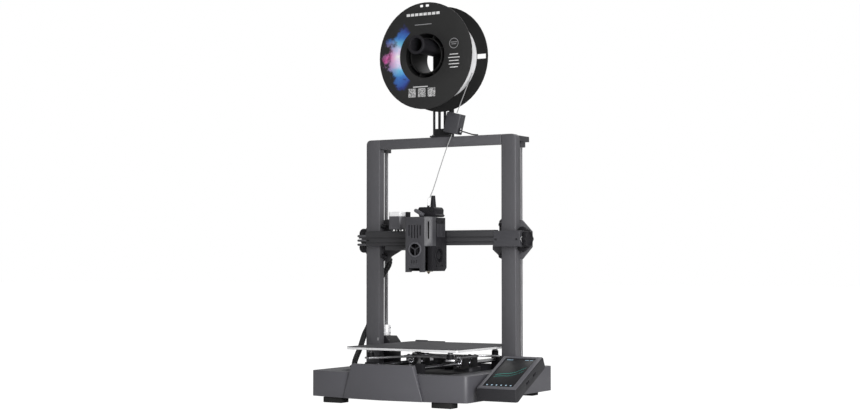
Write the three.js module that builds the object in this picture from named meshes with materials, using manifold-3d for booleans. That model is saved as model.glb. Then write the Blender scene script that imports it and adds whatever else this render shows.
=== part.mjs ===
// Desktop filament printer: a boxed base with a moving bed, a gantry frame with two lead screws,
// a print head on an X beam, a spool on the top beam and a screen on the right-hand side.
// Millimetres. X to the printer's right, Y to its back, Z up from the surface it stands on.
import * as THREE from 'three';
import { mergeVertices } from 'three/addons/utils/BufferGeometryUtils.js';
import Module from 'manifold-3d';

const wasm = await Module();
wasm.setup();

// ---- driving dimensions ------------------------------------------------------------------
const GAP = 0.3; // between pieces that rest on each other

const BASE = { halfWidth: 163, rear: 151, cornerFront: -183, bottom: 10.5, top: 57, wall: 3 };
const DECK = { halfWidth: 116, front: -162, rear: 138, top: 43.7, thick: 2.7 };
const PROW = { halfBottom: 83, halfTop: 64, side: -200, ridge: -208, back: -190, top: 73 };
const INLET = { bottom: 14 };
const FOOT = { x: 114, width: 40, depth: 24, front: -176, rear: 137 };

const ROD = { x: 52, z: 66, r: 4, front: -160, rear: 136 };
const Y_PULLEY = { rear: 109, front: -140, r: 6.2, bottom: 57.5, top: 63.5 };
const BED = { size: 235, y: -20, bottom: 94, top: 99.2, sheet: 0.8, corner: 4 };
const COLUMN = { pitch: 85, r: 4.8 };
const CARRIAGE = { bottom: 76, top: 79.5 };

const POST = { outer: 163, width: 30, depth: 18, top: 491, corner: 10 };
const TOP_BEAM = { height: 18.5 };
const SCREW = { x: 148, y: 49, r: 4, top: 468.7 };
const Z_DRIVE = { coverTop: 111, couplingR: 8.5, couplingTop: 132.5 };

const BEAM = { front: -21, back: -1, bottom: 286, top: 314, left: -151.5, right: 127.6 };
const BELT = { y: -11, r: 5.2, thick: 1, bottom: 292, top: 298, left: -161, right: 171 };
const X_MOTOR = { x: -83.3, size: 28, bottom: 317, top: 350 };
const WHEEL = { outer: 10, inner: 4.5, innerUp: 324, innerDown: 266, outerUp: 310, outerDown: 283 };
const PLATE = { front: 20, back: 24, mid: 296 };
const END_COVER = { left: 128, right: 182, bottom: 283, top: 312 };
const KNOB = { left: 184.6, right: 192, r: 17.5, y: -1, z: 297 };

const HEAD = { left: -24, right: 30, front: -84.5, facetX: 18.5, facetY: -74.5, bottom: 236, top: 337 };
const NOZZLE = { x: 3, y: -43, tip: 232.6 };
const FRONT_FAN = { x: -2, z: 277.5, r: 11.2 };
const SIDE_FAN = { y: -49, z: 267, r: 13 };

const SPOOL = { x: 1.6, z: 639.4, r: 100, front: -54, back: 9, flange: 2.5, bore: 32, recess: 41.5, barrel: 45 };
const WINDING = { r: 77 };
const TUBE = { z: 656.2, r: 15, inner: 12.5, lip: 18, front: -87, back: 11.7 };
const HOLDER = { left: -20, right: 25, front: 12, back: 15, top: 676 };
const SENSOR = { x: 35.6, y: -3, z: 515.2, width: 30, depth: 21, height: 38, lean: 14 };

const SCREEN = { x0: 179.5, x1: 238.7, y: -158.3, z: 40, length: 98.7, tilt: 26 };
const DISPLAY = { left: 172.5, right: 248.7, below: 10, above: 9, thick: 22 };

// Routes of what is held at both ends, from the end named first.
const UPPER_ROUTE = [[73.2, -2, 608.1], [57.2, -2.5, 571.4], [41.2, -3, 534.7]]; // spool to sensor
const LOWER_ROUTE = [ // sensor to extruder
  [30.4, -3, 495.2], [23.6, -9, 472], [15.4, -22.5, 430], [8, -35, 390], [3.4, -42.2, 370], [2.5, -43, 360.4],
];
const SENSOR_ROUTE = [[48.2, 3, 499.4], [52, 3.4, 499], [60, 5, 496.4], [70, 7, 493.4], [80, 8, 492.5]];
const HARNESS_ROUTE = [ // base to the plate behind the left upright
  [-150, -60, 57.6], [-150, -60, 64], [-165, -16.6, 92], [-173, 10, 115], [-177.5, 33, 134],
  [-176, 36, 165], [-172, 36, 190], [-152, 33.5, 222], [-131, 32, 250], [-128, 30.3, 262],
];

// ---- colours ------------------------------------------------------------------------------
const surface = (color, roughness, metalness) => new THREE.MeshStandardMaterial({ color, roughness, metalness });
const look = {
  greyPlastic: surface(0x6a696f, 0.55, 0.0),
  greyMetal: surface(0x66656a, 0.45, 0.6),
  blackPlastic: surface(0x1d1c20, 0.6, 0.0),
  rubber: surface(0x2b2b2b, 0.9, 0.0),
  steel: surface(0xc4c6c9, 0.25, 1.0),
  stamped: surface(0x9a9ca0, 0.35, 1.0),
  aluminium: surface(0xcacacc, 0.4, 1.0),
  brass: surface(0xb08a45, 0.3, 1.0),
  sheet: surface(0x45454a, 0.85, 0.0),
  spool: surface(0x3e3e3e, 0.5, 0.0),
  filament: surface(0xe6e6e4, 0.5, 0.0),
  screen: surface(0x101014, 0.1, 0.0),
};

// ---- solids ---------------------------------------------------------------------------------
function toSolid(geometry) {
  const plain = geometry.clone();
  plain.deleteAttribute('normal');
  plain.deleteAttribute('uv');
  const merged = mergeVertices(plain, 1e-4);
  return new wasm.Manifold(new wasm.Mesh({
    numProp: 3,
    vertProperties: Float32Array.from(merged.attributes.position.array),
    triVerts: Uint32Array.from(merged.index.array),
  }));
}

function toGeometry(solid) {
  const mesh = solid.getMesh();
  const geometry = new THREE.BufferGeometry();
  geometry.setAttribute('position', new THREE.BufferAttribute(Float32Array.from(mesh.vertProperties), 3));
  geometry.setIndex(new THREE.BufferAttribute(Uint32Array.from(mesh.triVerts), 1));
  return geometry;
}

/** Joins the listed geometries and takes the cut ones away from them. */
function build(joined, cuts = []) {
  let solid = toSolid(joined[0]);
  for (const geometry of joined.slice(1)) solid = solid.add(toSolid(geometry));
  for (const geometry of cuts) solid = solid.subtract(toSolid(geometry));
  return toGeometry(solid);
}

function overlap(a, b) {
  return toGeometry(toSolid(a).intersect(toSolid(b)));
}

function box(x0, x1, y0, y1, z0, z1) {
  return new THREE.BoxGeometry(x1 - x0, y1 - y0, z1 - z0)
    .translate((x0 + x1) / 2, (y0 + y1) / 2, (z0 + z1) / 2);
}

/** Closed outline from [x, y, radius] corners; a radius rounds its corner. */
function outline(corners) {
  const shape = new THREE.Shape();
  const at = (i) => new THREE.Vector2(...corners[(i + corners.length) % corners.length]);
  corners.forEach(([x, y, radius = 0], i) => {
    const here = new THREE.Vector2(x, y);
    const enter = here.clone().add(at(i - 1).sub(here).setLength(radius));
    const leave = here.clone().add(at(i + 1).sub(here).setLength(radius));
    if (i === 0) shape.moveTo(enter.x, enter.y);
    else shape.lineTo(enter.x, enter.y);
    if (radius > 0) shape.quadraticCurveTo(x, y, leave.x, leave.y);
  });
  shape.closePath();
  return shape;
}

const turnToX = new THREE.Matrix4().makeBasis(
  new THREE.Vector3(0, 1, 0), new THREE.Vector3(0, 0, 1), new THREE.Vector3(1, 0, 0));
const turnToY = new THREE.Matrix4().makeBasis(
  new THREE.Vector3(1, 0, 0), new THREE.Vector3(0, 0, 1), new THREE.Vector3(0, -1, 0));

/** Extrusions of an outline: of its (x, y) along Z, its (y, z) along X and its (x, z) along Y. */
function alongZ(shape, z0, z1, curveSegments = 6) {
  return new THREE.ExtrudeGeometry(shape, { depth: z1 - z0, bevelEnabled: false, curveSegments })
    .translate(0, 0, z0);
}
function alongX(shape, x0, x1, curveSegments = 6) {
  return alongZ(shape, x0, x1, curveSegments).applyMatrix4(turnToX);
}
function alongY(shape, y0, y1, curveSegments = 6) {
  return alongZ(shape, -y1, -y0, curveSegments).applyMatrix4(turnToY);
}

/** Cylinders and cones about an axis through (a, b), in the order of the two other axes. */
function rodX(r, y, z, x0, x1, sides = 24) {
  return new THREE.CylinderGeometry(r, r, x1 - x0, sides).rotateZ(-Math.PI / 2).translate((x0 + x1) / 2, y, z);
}
function rodY(r, x, z, y0, y1, sides = 24) {
  return new THREE.CylinderGeometry(r, r, y1 - y0, sides).translate(x, (y0 + y1) / 2, z);
}
function rodZ(r, x, y, z0, z1, sides = 24, rTop = r) {
  return new THREE.CylinderGeometry(rTop, r, z1 - z0, sides).rotateX(Math.PI / 2).translate(x, y, (z0 + z1) / 2);
}

/** Turned piece about the Y axis from a closed [radius, y] profile, in either order. */
function turnedY(profile, sides) {
  const points = [...profile, profile[0]].map(([r, y]) => new THREE.Vector2(r, y));
  if (THREE.ShapeUtils.area(points) < 0) points.reverse();
  return new THREE.LatheGeometry(points, sides);
}

function circle(x, y, r) {
  return new THREE.Shape().absarc(x, y, r, 0, Math.PI * 2, false);
}

/** Outline of a slot or stadium between two centres on one axis. */
function stadium(x0, x1, y, r) {
  const shape = new THREE.Shape();
  shape.absarc(x1, y, r, -Math.PI / 2, Math.PI / 2, false);
  shape.absarc(x0, y, r, Math.PI / 2, Math.PI * 1.5, false);
  shape.closePath();
  return shape;
}

/** A round tube that follows a smooth curve through the points. */
function tubeAlong(points, r, steps, sides = 8) {
  const path = new THREE.CatmullRomCurve3(points.map((p) => new THREE.Vector3(...p)), false, 'centripetal');
  const section = new THREE.Shape();
  for (let i = 0; i < sides; i += 1) {
    const angle = (i / sides) * Math.PI * 2;
    const move = i === 0 ? 'moveTo' : 'lineTo';
    section[move](r * Math.cos(angle), r * Math.sin(angle));
  }
  section.closePath();
  return new THREE.ExtrudeGeometry(section, { steps, extrudePath: path, bevelEnabled: false });
}

function bar(x0, y0, x1, y1, width, z0, z1) {
  const length = Math.hypot(x1 - x0, y1 - y0) + width;
  return new THREE.BoxGeometry(length, width, z1 - z0)
    .rotateZ(Math.atan2(y1 - y0, x1 - x0))
    .translate((x0 + x1) / 2, (y0 + y1) / 2, (z0 + z1) / 2);
}

function place(parent, name, geometry, material, position = [0, 0, 0], leanY = 0) {
  const mesh = new THREE.Mesh(geometry, material);
  mesh.name = name;
  mesh.position.set(...position);
  mesh.rotation.y = THREE.MathUtils.degToRad(leanY);
  parent.add(mesh);
}

const sides = [['left', -1], ['right', 1]];

// ---- base -----------------------------------------------------------------------------------
function baseOutline(inset) {
  const x = BASE.halfWidth - inset;
  const front = BASE.cornerFront + inset;
  const rear = BASE.rear - inset;
  const edge = PROW.side + 3.2 + inset;
  return outline([
    [-x, front, 8], [-83 + inset, edge], [-60, PROW.back + inset], [60, PROW.back + inset],
    [83 - inset, edge], [x, front, 8], [x, rear, 10], [-x, rear, 10],
  ]);
}

function baseShell() {
  const skirt = box(-DECK.halfWidth - 2.5, DECK.halfWidth + 2.5, DECK.front - 2.5, DECK.rear + 2.5, 44, 56);
  return build(
    [build([alongZ(baseOutline(0), BASE.bottom, BASE.top)],
      [alongZ(baseOutline(BASE.wall), BASE.bottom - 1, BASE.top - BASE.wall)]), skirt],
    [
      box(-DECK.halfWidth, DECK.halfWidth, DECK.front, DECK.rear, 40, BASE.top + 1),
      box(-150.4, -99.6, BASE.rear - 30, BASE.rear + 1, INLET.bottom - 0.4, INLET.bottom + 26.4),
    ]);
}

function frontCover() {
  const face = outline([
    [-PROW.halfBottom, BASE.bottom], [PROW.halfBottom, BASE.bottom],
    [PROW.halfTop, PROW.top, 1.5], [-PROW.halfTop, PROW.top, 1.5],
  ]);
  const edge = PROW.side + 2.9;
  const plan = outline([
    [-PROW.halfBottom, PROW.side], [0, PROW.ridge], [PROW.halfBottom, PROW.side],
    [PROW.halfBottom, edge], [60, PROW.back - GAP], [-60, PROW.back - GAP], [-PROW.halfBottom, edge],
  ]);
  const hollow = outline([[-56, -196.6], [0, -203.8], [56, -196.6], [56, -185], [-56, -185]]);
  const block = overlap(alongY(face, -215, -180), alongZ(plan, 0, 90));
  return build([block], [alongZ(hollow, 0, PROW.top - 3)]);
}

function deckTray() {
  const z0 = DECK.top - DECK.thick;
  const joined = [box(-118.2, 118.2, DECK.front - 2.2, DECK.rear + 2.2, z0, DECK.top)];
  const cuts = [box(-21.6, 21.6, 87.4, 130.6, z0 - 1, DECK.top + 1)];
  for (const [, side] of sides) {
    const x = side * ROD.x;
    joined.push(box(x - 9, x + 9, DECK.front + 0.5, DECK.front + 10, z0, 73.5));
    joined.push(box(x - 9, x + 9, DECK.rear - 10, DECK.rear - 0.5, z0, 73.5));
    cuts.push(rodY(ROD.r + GAP, x, ROD.z, ROD.front - GAP, ROD.rear + GAP));
  }
  joined.push(rodZ(3, 0, Y_PULLEY.front, z0, 64.3));
  joined.push(rodZ(Y_PULLEY.r, 0, Y_PULLEY.front, 56.4, 64.3));
  joined.push(box(-9, 9, Y_PULLEY.front - 9, Y_PULLEY.front + 9, z0, 56));
  return build(joined, cuts);
}

function yBelt() {
  const outer = stadium(Y_PULLEY.front, Y_PULLEY.rear, 0, Y_PULLEY.r + 1.5);
  outer.holes.push(stadium(Y_PULLEY.front, Y_PULLEY.rear, 0, Y_PULLEY.r + 0.4));
  return alongZ(outer, Y_PULLEY.bottom, Y_PULLEY.top, 8).rotateZ(Math.PI / 2);
}

function motor(size, z0, z1) {
  const half = size / 2;
  const c = size * 0.11;
  const section = outline([
    [-half, -half + c], [-half + c, -half], [half - c, -half], [half, -half + c],
    [half, half - c], [half - c, half], [-half + c, half], [-half, half - c],
  ]);
  return alongZ(section, z0, z1);
}

function yMotor() {
  const y = Y_PULLEY.rear;
  return build([
    motor(42, 14, 52).translate(0, y, 0), rodZ(11, 0, y, 51, 54),
    rodZ(2.5, 0, y, 50, 64.3), rodZ(Y_PULLEY.r, 0, y, 56.4, 64.3),
  ]);
}

function powerInlet() {
  const z = INLET.bottom;
  const { rear } = BASE;
  return build(
    [box(-150, -100, rear - 22, rear + 0.6, z, z + 26)],
    [box(-129, -104, rear - 12, rear + 2, z + 3, z + 23), box(-146.3, -133.7, rear - 6, rear + 2, z + 3, z + 23)]);
}

function powerSwitch() {
  const y = BASE.rear;
  const rocker = outline([[y - 4, -9.2], [y - 1, -9.2], [y + 0.6, -8.4], [y - 0.6, 0], [y + 2.2, 9], [y - 4, 9.2]]);
  return alongX(rocker, -5.8, 5.8).translate(-140, 0, INLET.bottom + 13);
}

function display() {
  const tilt = THREE.MathUtils.degToRad(SCREEN.tilt);
  const along = new THREE.Vector2(Math.cos(tilt), Math.sin(tilt));
  const foot = new THREE.Vector2(SCREEN.y, SCREEN.z);
  const at = (distance, depth) => [
    foot.x + along.x * distance + along.y * depth,
    foot.y + along.y * distance - along.x * depth,
  ];
  const top = SCREEN.length + DISPLAY.above;
  const profile = outline([
    [...at(-DISPLAY.below, 0), 2], [...at(top, 0), 4], [...at(top, DISPLAY.thick), 6],
    [...at(16, DISPLAY.thick), 4], [-157, 14.6, 3], [-167, 14.6, 2],
  ]);
  const pocket = outline([at(-0.3, 1.5), at(SCREEN.length + 0.3, 1.5), at(SCREEN.length + 0.3, -4), at(-0.3, -4)]);
  const glass = outline([at(0, 1.2), at(SCREEN.length, 1.2), at(SCREEN.length, 0.2), at(0, 0.2)]);
  const slot = (from, to) => alongX(
    outline([at(from, 9), at(to, 9), at(to, 13), at(from, 13)]), DISPLAY.right - 4, DISPLAY.right + 1);
  return {
    housing: build(
      [alongX(profile, DISPLAY.left, DISPLAY.right), box(BASE.halfWidth + GAP, DISPLAY.left + 2, -118, -72, 28, 52)],
      [alongX(pocket, SCREEN.x0 - GAP, SCREEN.x1 + GAP), slot(30, 42), slot(58, 70)]),
    glass: alongX(glass, SCREEN.x0, SCREEN.x1),
  };
}

function makeBase() {
  const group = new THREE.Group();
  place(group, 'base_shell', baseShell(), look.greyPlastic);
  place(group, 'front_cover', frontCover(), look.greyPlastic);
  place(group, 'deck_tray', deckTray(), look.blackPlastic);
  place(group, 'bottom_plate', alongZ(baseOutline(BASE.wall + GAP), BASE.bottom, BASE.bottom + 2), look.blackPlastic);
  for (const [sideName, side] of sides) {
    for (const [endName, y] of [['front', FOOT.front], ['rear', FOOT.rear]]) {
      const pad = box(-FOOT.width / 2, FOOT.width / 2, -FOOT.depth / 2, FOOT.depth / 2, 0, BASE.bottom - GAP);
      place(group, `foot_${endName}_${sideName}`, pad, look.rubber, [side * FOOT.x, y, 0]);
    }
    place(group, `y_rod_${sideName}`, rodY(ROD.r, 0, 0, ROD.front, ROD.rear), look.steel, [side * ROD.x, 0, ROD.z]);
  }
  place(group, 'y_motor', yMotor(), look.blackPlastic);
  place(group, 'y_belt', yBelt(), look.rubber);
  place(group, 'power_inlet', powerInlet(), look.blackPlastic);
  place(group, 'power_switch', powerSwitch(), look.rubber);
  const { housing, glass } = display();
  place(group, 'display_housing', housing, look.greyPlastic);
  place(group, 'display_glass', glass, look.screen);
  return group;
}

// ---- bed ------------------------------------------------------------------------------------
function bedCarriage() {
  const { bottom, top } = CARRIAGE;
  const joined = [box(-62, 62, -24, 46, bottom, top), box(-12, 12, 0, 22, 64.9, bottom)];
  const cuts = [];
  for (const [, side] of sides) {
    for (const end of [-1, 1]) {
      const x = side * COLUMN.pitch;
      const y = BED.y + end * COLUMN.pitch;
      joined.push(bar(side * 40, 11 + end * 26, x, y, 16, bottom, top));
      joined.push(rodZ(COLUMN.r, x, y, bottom, BED.bottom - GAP));
    }
    for (const y of [-18, 16]) joined.push(box(side * ROD.x - 9, side * ROD.x + 9, y, y + 24, 57, bottom));
    cuts.push(rodY(ROD.r + GAP, side * ROD.x, ROD.z, -30, 50));
  }
  for (const x of [-30, 30]) cuts.push(alongZ(circle(x, 11, 15), bottom - 1, top + 1));
  return build(joined, cuts);
}

function bedSquare(half, z0, z1) {
  const r = BED.corner;
  return alongZ(outline([[-half, -half, r], [half, -half, r], [half, half, r], [-half, half, r]]), z0, z1)
    .translate(0, BED.y, 0);
}

function makeBed() {
  const group = new THREE.Group();
  const half = BED.size / 2;
  const rear = BED.y + half;
  place(group, 'bed_carriage', bedCarriage(), look.stamped);
  place(group, 'heatbed', build([
    bedSquare(half - 0.5, BED.bottom, BED.top - BED.sheet - GAP),
    box(-109, -84, rear - 6, rear + 7, 92, 97), box(-84, -42, rear - 6, rear + 5, 92, 96),
  ]), look.aluminium);
  place(group, 'build_plate', build([
    bedSquare(half, BED.top - BED.sheet, BED.top),
    box(-109, -84, rear - 3, rear + 4, 98.4, 101.8), box(-84, -44, rear - 3, rear + 3, 98.4, 100.6),
  ]), look.sheet);
  return group;
}

// ---- gantry frame ---------------------------------------------------------------------------
function post(side) {
  const x0 = side * POST.outer;
  const x1 = side * (POST.outer - POST.width);
  const face = [[x0, BASE.top + GAP], [x1, BASE.top + GAP], [x1, POST.top], [x0, POST.top, POST.corner]];
  return build([alongY(outline(side < 0 ? face : face.reverse()), 0, POST.depth)]);
}

function topBearing(side) {
  const at = (a, b) => [Math.min(side * a, side * b), Math.max(side * a, side * b)];
  return build([
    box(...at(132, 160), POST.depth + GAP, 62, 479, 489),
    box(...at(142, 154), 40, 58, SCREW.top + GAP, 480),
  ]);
}

function zMotorCover() {
  const { coverTop } = Z_DRIVE;
  const face = outline([[-163, BASE.top + GAP], [-125.5, BASE.top + GAP], [-125.5, 99], [-135, coverTop], [-163, coverTop]]);
  const inside = outline([[-162.2, 50], [-127.5, 50], [-127.5, 98], [-135.8, coverTop - 2], [-162.2, coverTop - 2]]);
  return build([alongY(face, 26, 68)], [
    alongY(inside, 28, 66), rodZ(7, -SCREW.x, SCREW.y, 100, 120),
  ]);
}

function zMotor() {
  return build([
    motor(26, BASE.top + 0.6, 100), rodZ(2.5, 0, 0, 99, Z_DRIVE.coverTop + 0.5),
  ]).translate(-SCREW.x, SCREW.y, 0);
}

function spoolHolder() {
  const { left, right, front, back, top } = HOLDER;
  const foot = POST.top + GAP;
  const plate = alongY(outline([[left, foot], [right, foot], [right, top, 16], [left, top, 16]]), front, back);
  const slots = [-12.3, -0.4, 11.6].map((x) => box(x - 3.6, x + 3.6, front - 1, back + 1, 508, 541));
  const holes = [-12.3, -0.4].map((x) => rodY(1.6, x, 547, front - 1, back + 1, 12));
  return build([plate, box(left, right, 0, back, foot, foot + 3)], [...slots, ...holes]);
}

function makeFrame() {
  const group = new THREE.Group();
  for (const [name, side] of sides) {
    place(group, `upright_${name}`, post(side), look.greyMetal);
    place(group, `top_bearing_${name}`, topBearing(side), look.greyPlastic);
  }
  const inner = POST.outer - POST.width - GAP;
  place(group, 'top_beam', box(-inner, inner, 0, POST.depth, POST.top - TOP_BEAM.height, POST.top), look.greyMetal);
  place(group, 'z_motor_left', zMotor(), look.blackPlastic);
  place(group, 'z_motor_cover', zMotorCover(), look.blackPlastic);
  place(group, 'coupling_left',
    rodZ(Z_DRIVE.couplingR, 0, 0, Z_DRIVE.coverTop + 0.8, Z_DRIVE.couplingTop), look.aluminium, [-SCREW.x, SCREW.y, 0]);
  place(group, 'lead_screw_left',
    rodZ(SCREW.r, 0, 0, Z_DRIVE.couplingTop + GAP, SCREW.top, 16), look.steel, [-SCREW.x, SCREW.y, 0]);
  place(group, 'lead_screw_right',
    rodZ(SCREW.r, 0, 0, BASE.top + GAP, SCREW.top, 16), look.steel, [SCREW.x, SCREW.y, 0]);
  place(group, 'spool_bracket', spoolHolder(), look.blackPlastic);
  place(group, 'spool_tube', turnedY([
    [0, TUBE.back], [TUBE.r, TUBE.back], [TUBE.r, TUBE.front + 4], [TUBE.lip, TUBE.front + 3],
    [TUBE.lip, TUBE.front], [TUBE.inner, TUBE.front], [TUBE.inner, 8], [0, 8],
  ], 32), look.blackPlastic, [SPOOL.x, 0, TUBE.z]);
  return group;
}

// ---- X axis ---------------------------------------------------------------------------------
function beam() {
  const { front, back, bottom, top } = BEAM;
  const section = outline([
    [front, bottom, 1], [back, bottom, 1], [back, top, 1.5], [front, top, 5],
    [front, 302], [front + 2, 302], [front + 2, 299], [front, 299],
    [front, 293], [front + 2, 293], [front + 2, 290.5], [front, 290.5],
  ]);
  return build([alongX(section, BEAM.left, BEAM.right)], [
    box(BEAM.left - 1, BEAM.right + 1, -18, -3.5, 289.5, 309.5),
    rodZ(7, X_MOTOR.x, BELT.y, 305, 320),
  ]);
}

function xMotor() {
  const legs = [[-9.5, -6], [9.5, -6], [-9.5, 6], [9.5, 6]].map(([x, y]) => rodZ(2, x, y, BEAM.top + GAP, 318, 12));
  return build([
    motor(X_MOTOR.size, X_MOTOR.bottom, X_MOTOR.top), ...legs,
    box(X_MOTOR.size / 2 - 1, X_MOTOR.size / 2 + 5.3, 4, 13, 338, X_MOTOR.top),
    rodZ(2.5, 0, 0, 291.5, 318, 16), rodZ(4.6, 0, 0, 291.5, 299, 20),
  ]).translate(X_MOTOR.x, BELT.y, 0);
}

function xBelt() {
  const outer = stadium(BELT.left, BELT.right, BELT.y, BELT.r + BELT.thick);
  outer.holes.push(stadium(BELT.left, BELT.right, BELT.y, BELT.r));
  return alongZ(outer, BELT.bottom, BELT.top, 8);
}

/** Plate behind an upright that carries the wheels, seen from the front; side is -1 or 1. */
function gantryPlate(side, innerTail) {
  const points = [
    [186, 282], [186, 311], [166, 332], [126, 338], [118, 331], [118, 300],
    ...innerTail, [118, 266], [126, 256], [166, 260],
  ].map(([x, z]) => [side * x, z]);
  return alongY(outline(side > 0 ? points.reverse() : points), PLATE.front, PLATE.back);
}

function nutArm(side) {
  const x = side * SCREW.x;
  return {
    body: box(x - 10, x + 10, PLATE.back - 1, 60, 272, 284),
    hole: rodZ(SCREW.r + 0.6, x, SCREW.y, 260, 300, 24),
  };
}

function bracketLeft() {
  const arm = nutArm(-1);
  const lower = outline([[-108, 277.5], [-74, 277.5], [-62, 281], [-62, 285.7], [-108, 285.7]]);
  const cap = [
    box(-168, -152, -19, -0.5, 300, 304), box(-168, -152, -19, -0.5, 286, 290),
    box(-172, -152, -2.5, -0.5, 286, 304), rodZ(4.8, BELT.left, BELT.y, 289, 301),
    box(-172, -165, -2, PLATE.front + 1, 294.2, 298.8),
  ];
  return build(
    [gantryPlate(-1, [[62, 290], [62, 277.5], [96, 277.5]]), arm.body, alongY(lower, -20, PLATE.front + 1), ...cap],
    [arm.hole]);
}

function bracketRight() {
  const arm = nutArm(1);
  return build([
    gantryPlate(1, [[104, 285], [104, 278]]), arm.body,
    box(165, 172, BEAM.back + 0.7, PLATE.front + 1, 294.2, 298.8),
  ], [arm.hole]);
}

function endCover() {
  const { left, right, bottom, top } = END_COVER;
  return build([
    build([box(left, right, BEAM.front - 0.5, -0.6, bottom, top)], [box(left - 1, right - 2.5, -18.6, -3, 287, 308)]),
    rodZ(4.8, BELT.right, BELT.y, 286, 309),
  ]);
}

function wheel(r) {
  const hub = Math.min(3, r * 0.45);
  const edge = Math.min(2.2, r * 0.3);
  return turnedY([
    [0, 3], [hub, 3], [hub + 0.4, 4.2], [r - edge, 4.2], [r, 6.5], [r, 11.5], [r - edge, 13.8], [hub, 13.8],
    [hub, PLATE.front - GAP], [0, PLATE.front - GAP],
  ], 20);
}

function knob() {
  const shape = new THREE.Shape();
  const steps = 64;
  for (let i = 0; i < steps; i += 1) {
    const angle = (i / steps) * Math.PI * 2;
    const r = KNOB.r - 1.4 + 1.4 * Math.cos(8 * angle);
    shape[i === 0 ? 'moveTo' : 'lineTo'](r * Math.cos(angle), r * Math.sin(angle));
  }
  shape.closePath();
  return build(
    [alongX(shape, KNOB.left, KNOB.right), rodX(5, 0, 0, END_COVER.right + GAP, KNOB.left + 1)],
    [rodX(12, 0, 0, KNOB.right - 3, KNOB.right + 1)]);
}

function makeGantry() {
  const group = new THREE.Group();
  place(group, 'x_beam', beam(), look.greyMetal);
  place(group, 'x_motor', xMotor(), look.blackPlastic);
  place(group, 'x_belt', xBelt(), look.rubber);
  place(group, 'x_bracket_left', bracketLeft(), look.greyMetal);
  place(group, 'x_bracket_right', bracketRight(), look.greyMetal);
  place(group, 'x_end_cover', endCover(), look.greyPlastic);
  place(group, 'x_tension_knob', knob(), look.blackPlastic, [0, KNOB.y, KNOB.z]);
  const inner = POST.outer - POST.width - GAP - WHEEL.inner;
  const outer = POST.outer + GAP + WHEEL.outer;
  for (const [name, side] of sides) {
    const spots = [
      ['inner_upper', inner, WHEEL.innerUp, WHEEL.inner], ['inner_lower', inner, WHEEL.innerDown, WHEEL.inner],
      ['outer_upper', outer, WHEEL.outerUp, WHEEL.outer], ['outer_lower', outer, WHEEL.outerDown, WHEEL.outer],
    ];
    for (const [spot, x, z, r] of spots) {
      place(group, `wheel_${name}_${spot}`, wheel(r), look.rubber, [side * x, 0, z]);
    }
  }
  return group;
}

// ---- print head -----------------------------------------------------------------------------
function headPlan(inset, back) {
  const { left, right, front, facetX, facetY } = HEAD;
  return outline([
    [left + inset, front + 2.5], [left + 2.5, front + inset], [facetX - inset / 2, front + inset],
    [right - inset, facetY + inset / 2], [right - inset, back], [left + inset, back],
  ]);
}

function headCover() {
  const back = -62;
  const cuts = [
    alongZ(headPlan(2, back + 1), HEAD.bottom - 2, HEAD.top - 2),
    box(HEAD.facetX + 0.2, 40, -90, -55, 230, 284),
    alongX(outline([[-90, 228], [-80, 228], [-90, 240]]), -40, 50),
    box(-16, 8, -90, -79, 230, 243.5),
  ];
  for (let i = -2; i <= 2; i += 1) {
    const x = FRONT_FAN.x - 0.8 + i * 6;
    cuts.push(box(x - 1.2, x + 1.2, -90, -80, Math.abs(i) === 2 ? 303 : 299, 323));
  }
  for (let i = -1; i <= 1; i += 1) cuts.push(box(FRONT_FAN.x - 2 + i * 5 - 0.8, FRONT_FAN.x - 1.2 + i * 5, -90, -80, 252, 258.5));
  const slot = box(-1.2, 1.2, -8, 8, 297, 329);
  cuts.push(slot.rotateZ(Math.atan2(10, 11.5)).translate(24.4, -79.6, 0));
  const grille = toSolid(rodY(FRONT_FAN.r, FRONT_FAN.x, FRONT_FAN.z, -90, -80, 32));
  const spokes = [90, 210, 330].map((degrees) => new THREE.BoxGeometry(FRONT_FAN.r + 1, 12, 1.6)
    .translate((FRONT_FAN.r + 1) / 2, 0, 0).rotateY(THREE.MathUtils.degToRad(degrees))
    .translate(FRONT_FAN.x, -85, FRONT_FAN.z));
  let opening = grille;
  for (const spoke of spokes) opening = opening.subtract(toSolid(spoke));
  cuts.push(toGeometry(opening));
  return build([alongZ(headPlan(0, back), HEAD.bottom, HEAD.top + 1)], cuts);
}

function headBody() {
  const { y, z, r } = SIDE_FAN;
  const side = outline([
    [-61.7, 238], [-30, 238], [-22.5, 244], [-22.5, 312], [-27.5, 314], [-27.5, HEAD.top], [-61.7, HEAD.top],
  ]);
  const duct = outline([[-74, 240], [-61, 238], [-61, 283.4], [-74, 283.4]]);
  return build(
    [alongX(side, HEAD.left + 1, HEAD.right), alongX(duct, HEAD.facetX + 0.6, HEAD.right - 0.4)],
    [rodX(r, y, z, HEAD.right - 9, HEAD.right + 1, 32)]);
}

function rotor(hub, r, width, blades, lean) {
  const joined = [rodY(hub, 0, 0, -width / 2, width / 2, 20)];
  for (let i = 0; i < blades; i += 1) {
    joined.push(new THREE.BoxGeometry(r - hub + 1, width * 0.9, 0.9)
      .rotateX(lean).translate((r + hub) / 2 - 0.5, 0, 0).rotateY((i / blades) * Math.PI * 2));
  }
  return build(joined);
}

function extruder() {
  const face = outline([
    [-6, 338.3], [27, 338.3], [30, 341, 1], [27, 344], [27.5, 352, 2], [24, 356.5, 2], [-7, 356.5, 2],
    [-10, 349.5, 2],
  ]);
  return build([
    alongY(face, -61.5, -29), rodZ(5.7, 10, -38, 356, 378.5, 24, 3.7), rodZ(2.4, NOZZLE.x - 0.5, NOZZLE.y, 356, 360, 16),
  ]);
}

function nozzle() {
  const tip = NOZZLE.tip;
  return build([
    rodZ(0.8, 0, 0, tip, tip + 3.4, 20, 3.2), rodZ(3.2, 0, 0, tip + 3.4, tip + 4.6, 20), box(-6, 6, -6, 6, tip + 4.2, 237.7),
  ]).translate(NOZZLE.x, NOZZLE.y, 0);
}

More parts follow.
